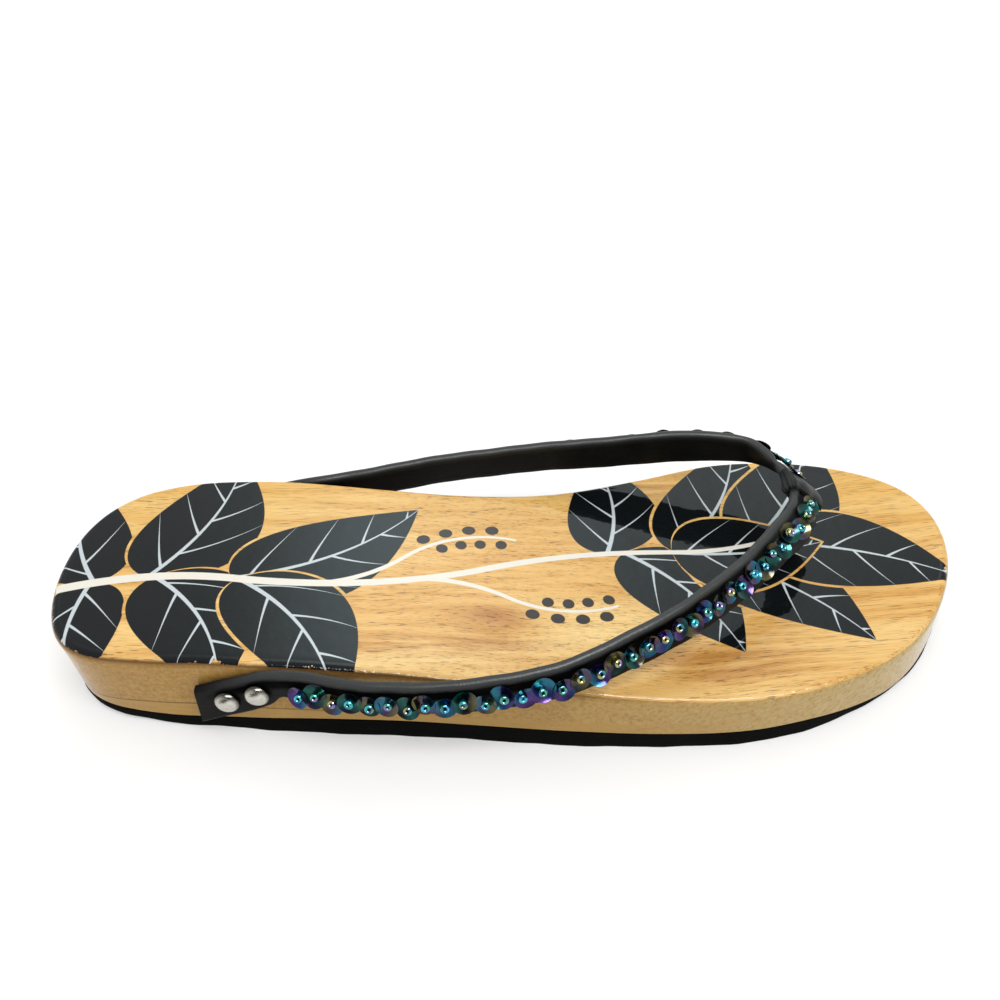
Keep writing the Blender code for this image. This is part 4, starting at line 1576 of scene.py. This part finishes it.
# %% [markdown]
# ## Sequins and beads
#
# Along each branch a row of cupped sequins is sewn on, each held by a round glass bead with an iris
# coating that runs from teal to blue, purple and bronze. The seats follow the strap's outer face, so the
# tree turns that line into a curve, spaces points along it in a slight zigzag, and puts a sequin and a
# bead on each. Tilt, turn, size and tone differ from seat to seat by a fixed seed. The tone is kept as
# an attribute, so one material colours every sequin and another every bead.

# %% One sequin and one bead
SEQUIN_DIAMETER = 6.2
SEQUIN_CUP = 0.8
SEQUIN_WALL = 0.09
SEQUIN_SIDES = 24
BEAD_DIAMETER = 2.5
BEAD_HOLE = 0.6
BEAD_SIDES = 16


BEAD_RINGS = 10
BEAD_TALLNESS = 1.8


def turned_ring(name, profile, sides, look, sharp):
    """Turned piece with a hole; each point keeps how far across the piece it lies, from 0 to 1."""
    made = add_tube(name, turned_rings(profile, sides) + ORIGIN, look, sharp, closed=True)
    x = mesh_points(made)[:, 0]
    store(made, "across", (x - x.min()) / (x.max() - x.min()))
    return made


def make_sequin(look):
    radius = SEQUIN_DIAMETER / 2
    cup = [(0.35, 0.0), (1.2, 0.04), (2.1, 0.26), (radius - 0.12, SEQUIN_CUP - 0.06), (radius, SEQUIN_CUP)]
    profile = [(h, r) for r, h in cup] + [(h + SEQUIN_WALL, r) for r, h in reversed(cup)]
    return turned_ring("sequin", profile, SEQUIN_SIDES, look, 30.0)


def make_bead(look):
    """Round bead with a hole, its hole facing outward."""
    tube = (BEAD_DIAMETER - BEAD_HOLE) / 4
    middle = BEAD_DIAMETER / 2 - tube
    turns = np.linspace(0.0, math.tau, BEAD_RINGS, endpoint=False)
    profile = [(BEAD_TALLNESS * tube * math.sin(turn), middle + tube * math.cos(turn)) for turn in turns]
    return turned_ring("bead", profile, BEAD_SIDES, look, 80.0)


# %% Iris finish
SEQUIN_TONES = (
    (0.00, (0.017, 0.130, 0.160)),
    (0.12, (0.017, 0.036, 0.125)),
    (0.26, (0.070, 0.034, 0.140)),
    (0.38, (0.010, 0.013, 0.026)),
    (0.52, (0.012, 0.080, 0.062)),
    (0.64, (0.008, 0.011, 0.022)),
    (0.76, (0.095, 0.088, 0.036)),
    (0.88, (0.060, 0.036, 0.068)),
    (1.00, (0.020, 0.105, 0.180)),
)
BEAD_TONES = (
    (0.00, (0.050, 0.260, 0.500)),
    (0.18, (0.050, 0.420, 0.420)),
    (0.34, (0.020, 0.070, 0.160)),
    (0.50, (0.360, 0.360, 0.110)),
    (0.66, (0.180, 0.100, 0.360)),
    (0.82, (0.040, 0.330, 0.200)),
    (1.00, (0.020, 0.050, 0.120)),
)


def make_iris_look(name, tones, roughness, coat):
    look, tree, shader, spot = new_look(name)
    tone = attribute(tree, "tone")
    across = attribute(tree, "across")
    grain = noise(tree, spot, SPECK_SCALE, 2.0)
    # The tone differs at random from piece to piece; the shift across each piece is a painted iridescent
    # sheen, colour crescents that the coating shows only as it catches the light.
    hue = (tone + (across - 0.5) * 0.34 + (grain - 0.5) * 0.12).calc("FRACT")
    ramp = add_node(tree, "ShaderNodeValToRGB", {"Fac": hue})
    stops = ramp.color_ramp.elements
    for place, colour in tones[2:]:
        stops.new(place)
    for stop, (place, colour) in zip(stops, tones):
        stop.position = place
        stop.color = (*colour, 1.0)
    inputs = {
        "Base Color": ramp.outputs["Color"],
        "Metallic": 0.95,
        "Roughness": grain * 0.12 + roughness,
        "Coat Weight": coat,
        "Coat Roughness": 0.05,
    }
    feed_all(tree, shader, inputs)
    return look


sequin_look = make_iris_look("iris_sequin", SEQUIN_TONES, 0.12, 0.1)
bead_look = make_iris_look("iris_bead", BEAD_TONES, 0.02, 0.5)

# %% Rows of sequins and beads
BEAD_PITCH = 4.6
BEAD_START = 30.0
BEAD_END = (5.0, 7.0)
# Columns: share of the branch from its tab to the apex, offset of the row and spread of its zigzag.
ROW_PLACES = ((0.0, -0.9, 0.5), (0.35, -0.3, 0.6), (0.65, 0.6, 0.6), (1.0, 0.1, 0.7))
SEQUIN_LIFT = 0.05
BEAD_LIFT = 0.85
LIFT_PER_LEAN = 1.84
SEQUIN_TILT = 0.22
ROW_STRAY = 0.35
ROW_INPUTS = (
    ("Pitch", "NodeSocketFloat"),
    ("Sequin", "NodeSocketObject"),
    ("Bead", "NodeSocketObject"),
    ("Sequin Finish", "NodeSocketMaterial"),
    ("Bead Finish", "NodeSocketMaterial"),
    ("Sequin Lift", "NodeSocketFloat"),
    ("Bead Lift", "NodeSocketFloat"),
    ("Tilt", "NodeSocketFloat"),
    ("Stray", "NodeSocketFloat"),
    ("Seed", "NodeSocketInt"),
)


def scaled_vector(tree, direction, amount):
    node = add_node(tree, "ShaderNodeVectorMath", {"Vector": direction}, operation="SCALE")
    feed(tree, node.inputs["Scale"], amount)
    return node.outputs[0]


def row_tree():
    tree, given, end = geometry_tree("bead_row", ROW_INPUTS)
    curve = add_node(tree, "GeometryNodeMeshToCurve", {"Mesh": given["Geometry"]}).outputs[0]
    even = {"Curve": curve, "Length": given["Pitch"]}
    spaced = add_node(tree, "GeometryNodeResampleCurve", even, mode="LENGTH").outputs[0]
    sides = []
    kinds = (("Sequin", "Sequin Finish", "Sequin Lift", 11), ("Bead", "Bead Finish", "Bead Lift", 23))
    for label, finish, lift, salt in kinds:
        seed = Field(tree, given["Seed"]) + float(salt)
        strung = add_node(tree, "GeometryNodeCurveToPoints", {"Curve": spaced}, mode="EVALUATED")
        stray = random_value(tree, (-1.0,) * 3, (1.0,) * 3, seed, "FLOAT_VECTOR")
        shift = add_node(tree, "ShaderNodeVectorMath", operation="ADD")
        tree.links.new(scaled_vector(tree, stray, given["Stray"]), shift.inputs[0])
        tree.links.new(scaled_vector(tree, named_vector(tree, "out"), given[lift]), shift.inputs[1])
        number = Field(tree, add_node(tree, "GeometryNodeInputIndex").outputs[0])
        swing = number.calc("MODULO", 2.0) * 2.0 - 1.0
        apart = add_node(tree, "ShaderNodeVectorMath", {0: shift.outputs[0]}, operation="ADD")
        tree.links.new(scaled_vector(tree, named_vector(tree, "up"), swing), apart.inputs[1])
        shifted = {"Geometry": strung.outputs["Points"], "Offset": apart.outputs[0]}
        moved = add_node(tree, "GeometryNodeSetPosition", shifted).outputs[0]
        lean = random_value(tree, (-1.0, -1.0, -3.1), (1.0, 1.0, 3.1), seed + 5.0, "FLOAT_VECTOR")
        tilt = add_node(tree, "ShaderNodeVectorMath", {0: lean}, operation="MULTIPLY")
        tree.links.new(vector(tree, given["Tilt"], given["Tilt"], 1.0), tilt.inputs[1])
        turned_by = add_node(tree, "FunctionNodeRotateRotation", {0: facing(tree)}, rotation_space="LOCAL")
        euler = add_node(tree, "FunctionNodeEulerToRotation", {0: tilt.outputs[0]})
        tree.links.new(euler.outputs[0], turned_by.inputs[1])
        seats = add_node(
            tree,
            "GeometryNodeInstanceOnPoints",
            {
                "Points": moved,
                "Instance": object_geometry(tree, given[label]),
                "Rotation": turned_by.outputs[0],
                "Scale": random_value(tree, 0.92, 1.06, seed + 7.0),
            },
        )
        named = {"Geometry": seats.outputs[0], "Name": "tone"}
        toned = add_node(tree, "GeometryNodeStoreNamedAttribute", named, domain="INSTANCE")
        feed(tree, toned.inputs["Value"], random_value(tree, 0.0, 1.0, seed + 9.0))
        sides.append(finished(tree, toned.outputs[0], given[finish]))
    join = add_node(tree, "GeometryNodeJoinGeometry")
    for side in sides:
        tree.links.new(side, join.inputs[0])
    tree.links.new(join.outputs[0], end)
    return tree


bead_row_tree = row_tree()
sequin = make_sequin(sequin_look)
bead = make_bead(bead_look)


def make_bead_row(name, start, end, lean, seed):
    at = np.arange(start, end, 0.5)
    centre, run, face_up, face_out, width = strap_frame(at)
    share = np.linspace(0.0, 1.0, len(at)) if start < APEX else np.linspace(1.0, 0.0, len(at))
    place = smooth(ROW_PLACES, share)
    points = centre + face_up * place[:, :1] + face_out * (STRAP_THICKNESS / 2)
    outs = face_out + face_up * lean
    lift = LIFT_PER_LEAN * lean
    carrier = seat_mesh(name + "_seats", points, outs, run, face_up * place[:, 1:] * MM, joined=True)
    values = {
        "Pitch": BEAD_PITCH * MM,
        "Sequin": sequin,
        "Bead": bead,
        "Sequin Finish": sequin_look,
        "Bead Finish": bead_look,
        "Sequin Lift": (SEQUIN_LIFT + lift) * MM,
        "Bead Lift": (BEAD_LIFT + lift) * MM,
        "Tilt": SEQUIN_TILT,
        "Stray": ROW_STRAY * MM,
        "Seed": seed,
    }
    return run_tree(bead_row_tree, carrier, values, name)


# Columns: piece, node it replaces, start and end along the strap, lean of the sequins upward, seed.
rows = (
    ("beads_lateral", "bead_trim_lateral", BEAD_START, APEX - BEAD_END[0], 0.38, 4),
    ("beads_medial", "bead_trim_medial", APEX + BEAD_END[1], STRAP_LENGTH - BEAD_START, 0.0, 9),
)
for name, node, start, end, lean, seed in rows:
    row = make_bead_row(name, start, end, lean, seed)
    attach(row, "root")
    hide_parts(node)
    print(name + ":", len(row.data.polygons), "faces")
for template in (sequin, bead):
    bpy.data.objects.remove(template, do_unlink=True)

# %% [markdown]
# ## The sizes of both boxes
#
# Both boxes, the imported model's and the dressed shoe's, are printed side by side. The dressed shoe
# must stay inside the imported model's box.

# %% Print both boxes
visual_box = [list(corner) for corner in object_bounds()]
for label, box in (("packed", cad_box), ("dressed", visual_box)):
    print(label, "box in mm:", [[round(c / MM, 1) for c in corner] for corner in box])
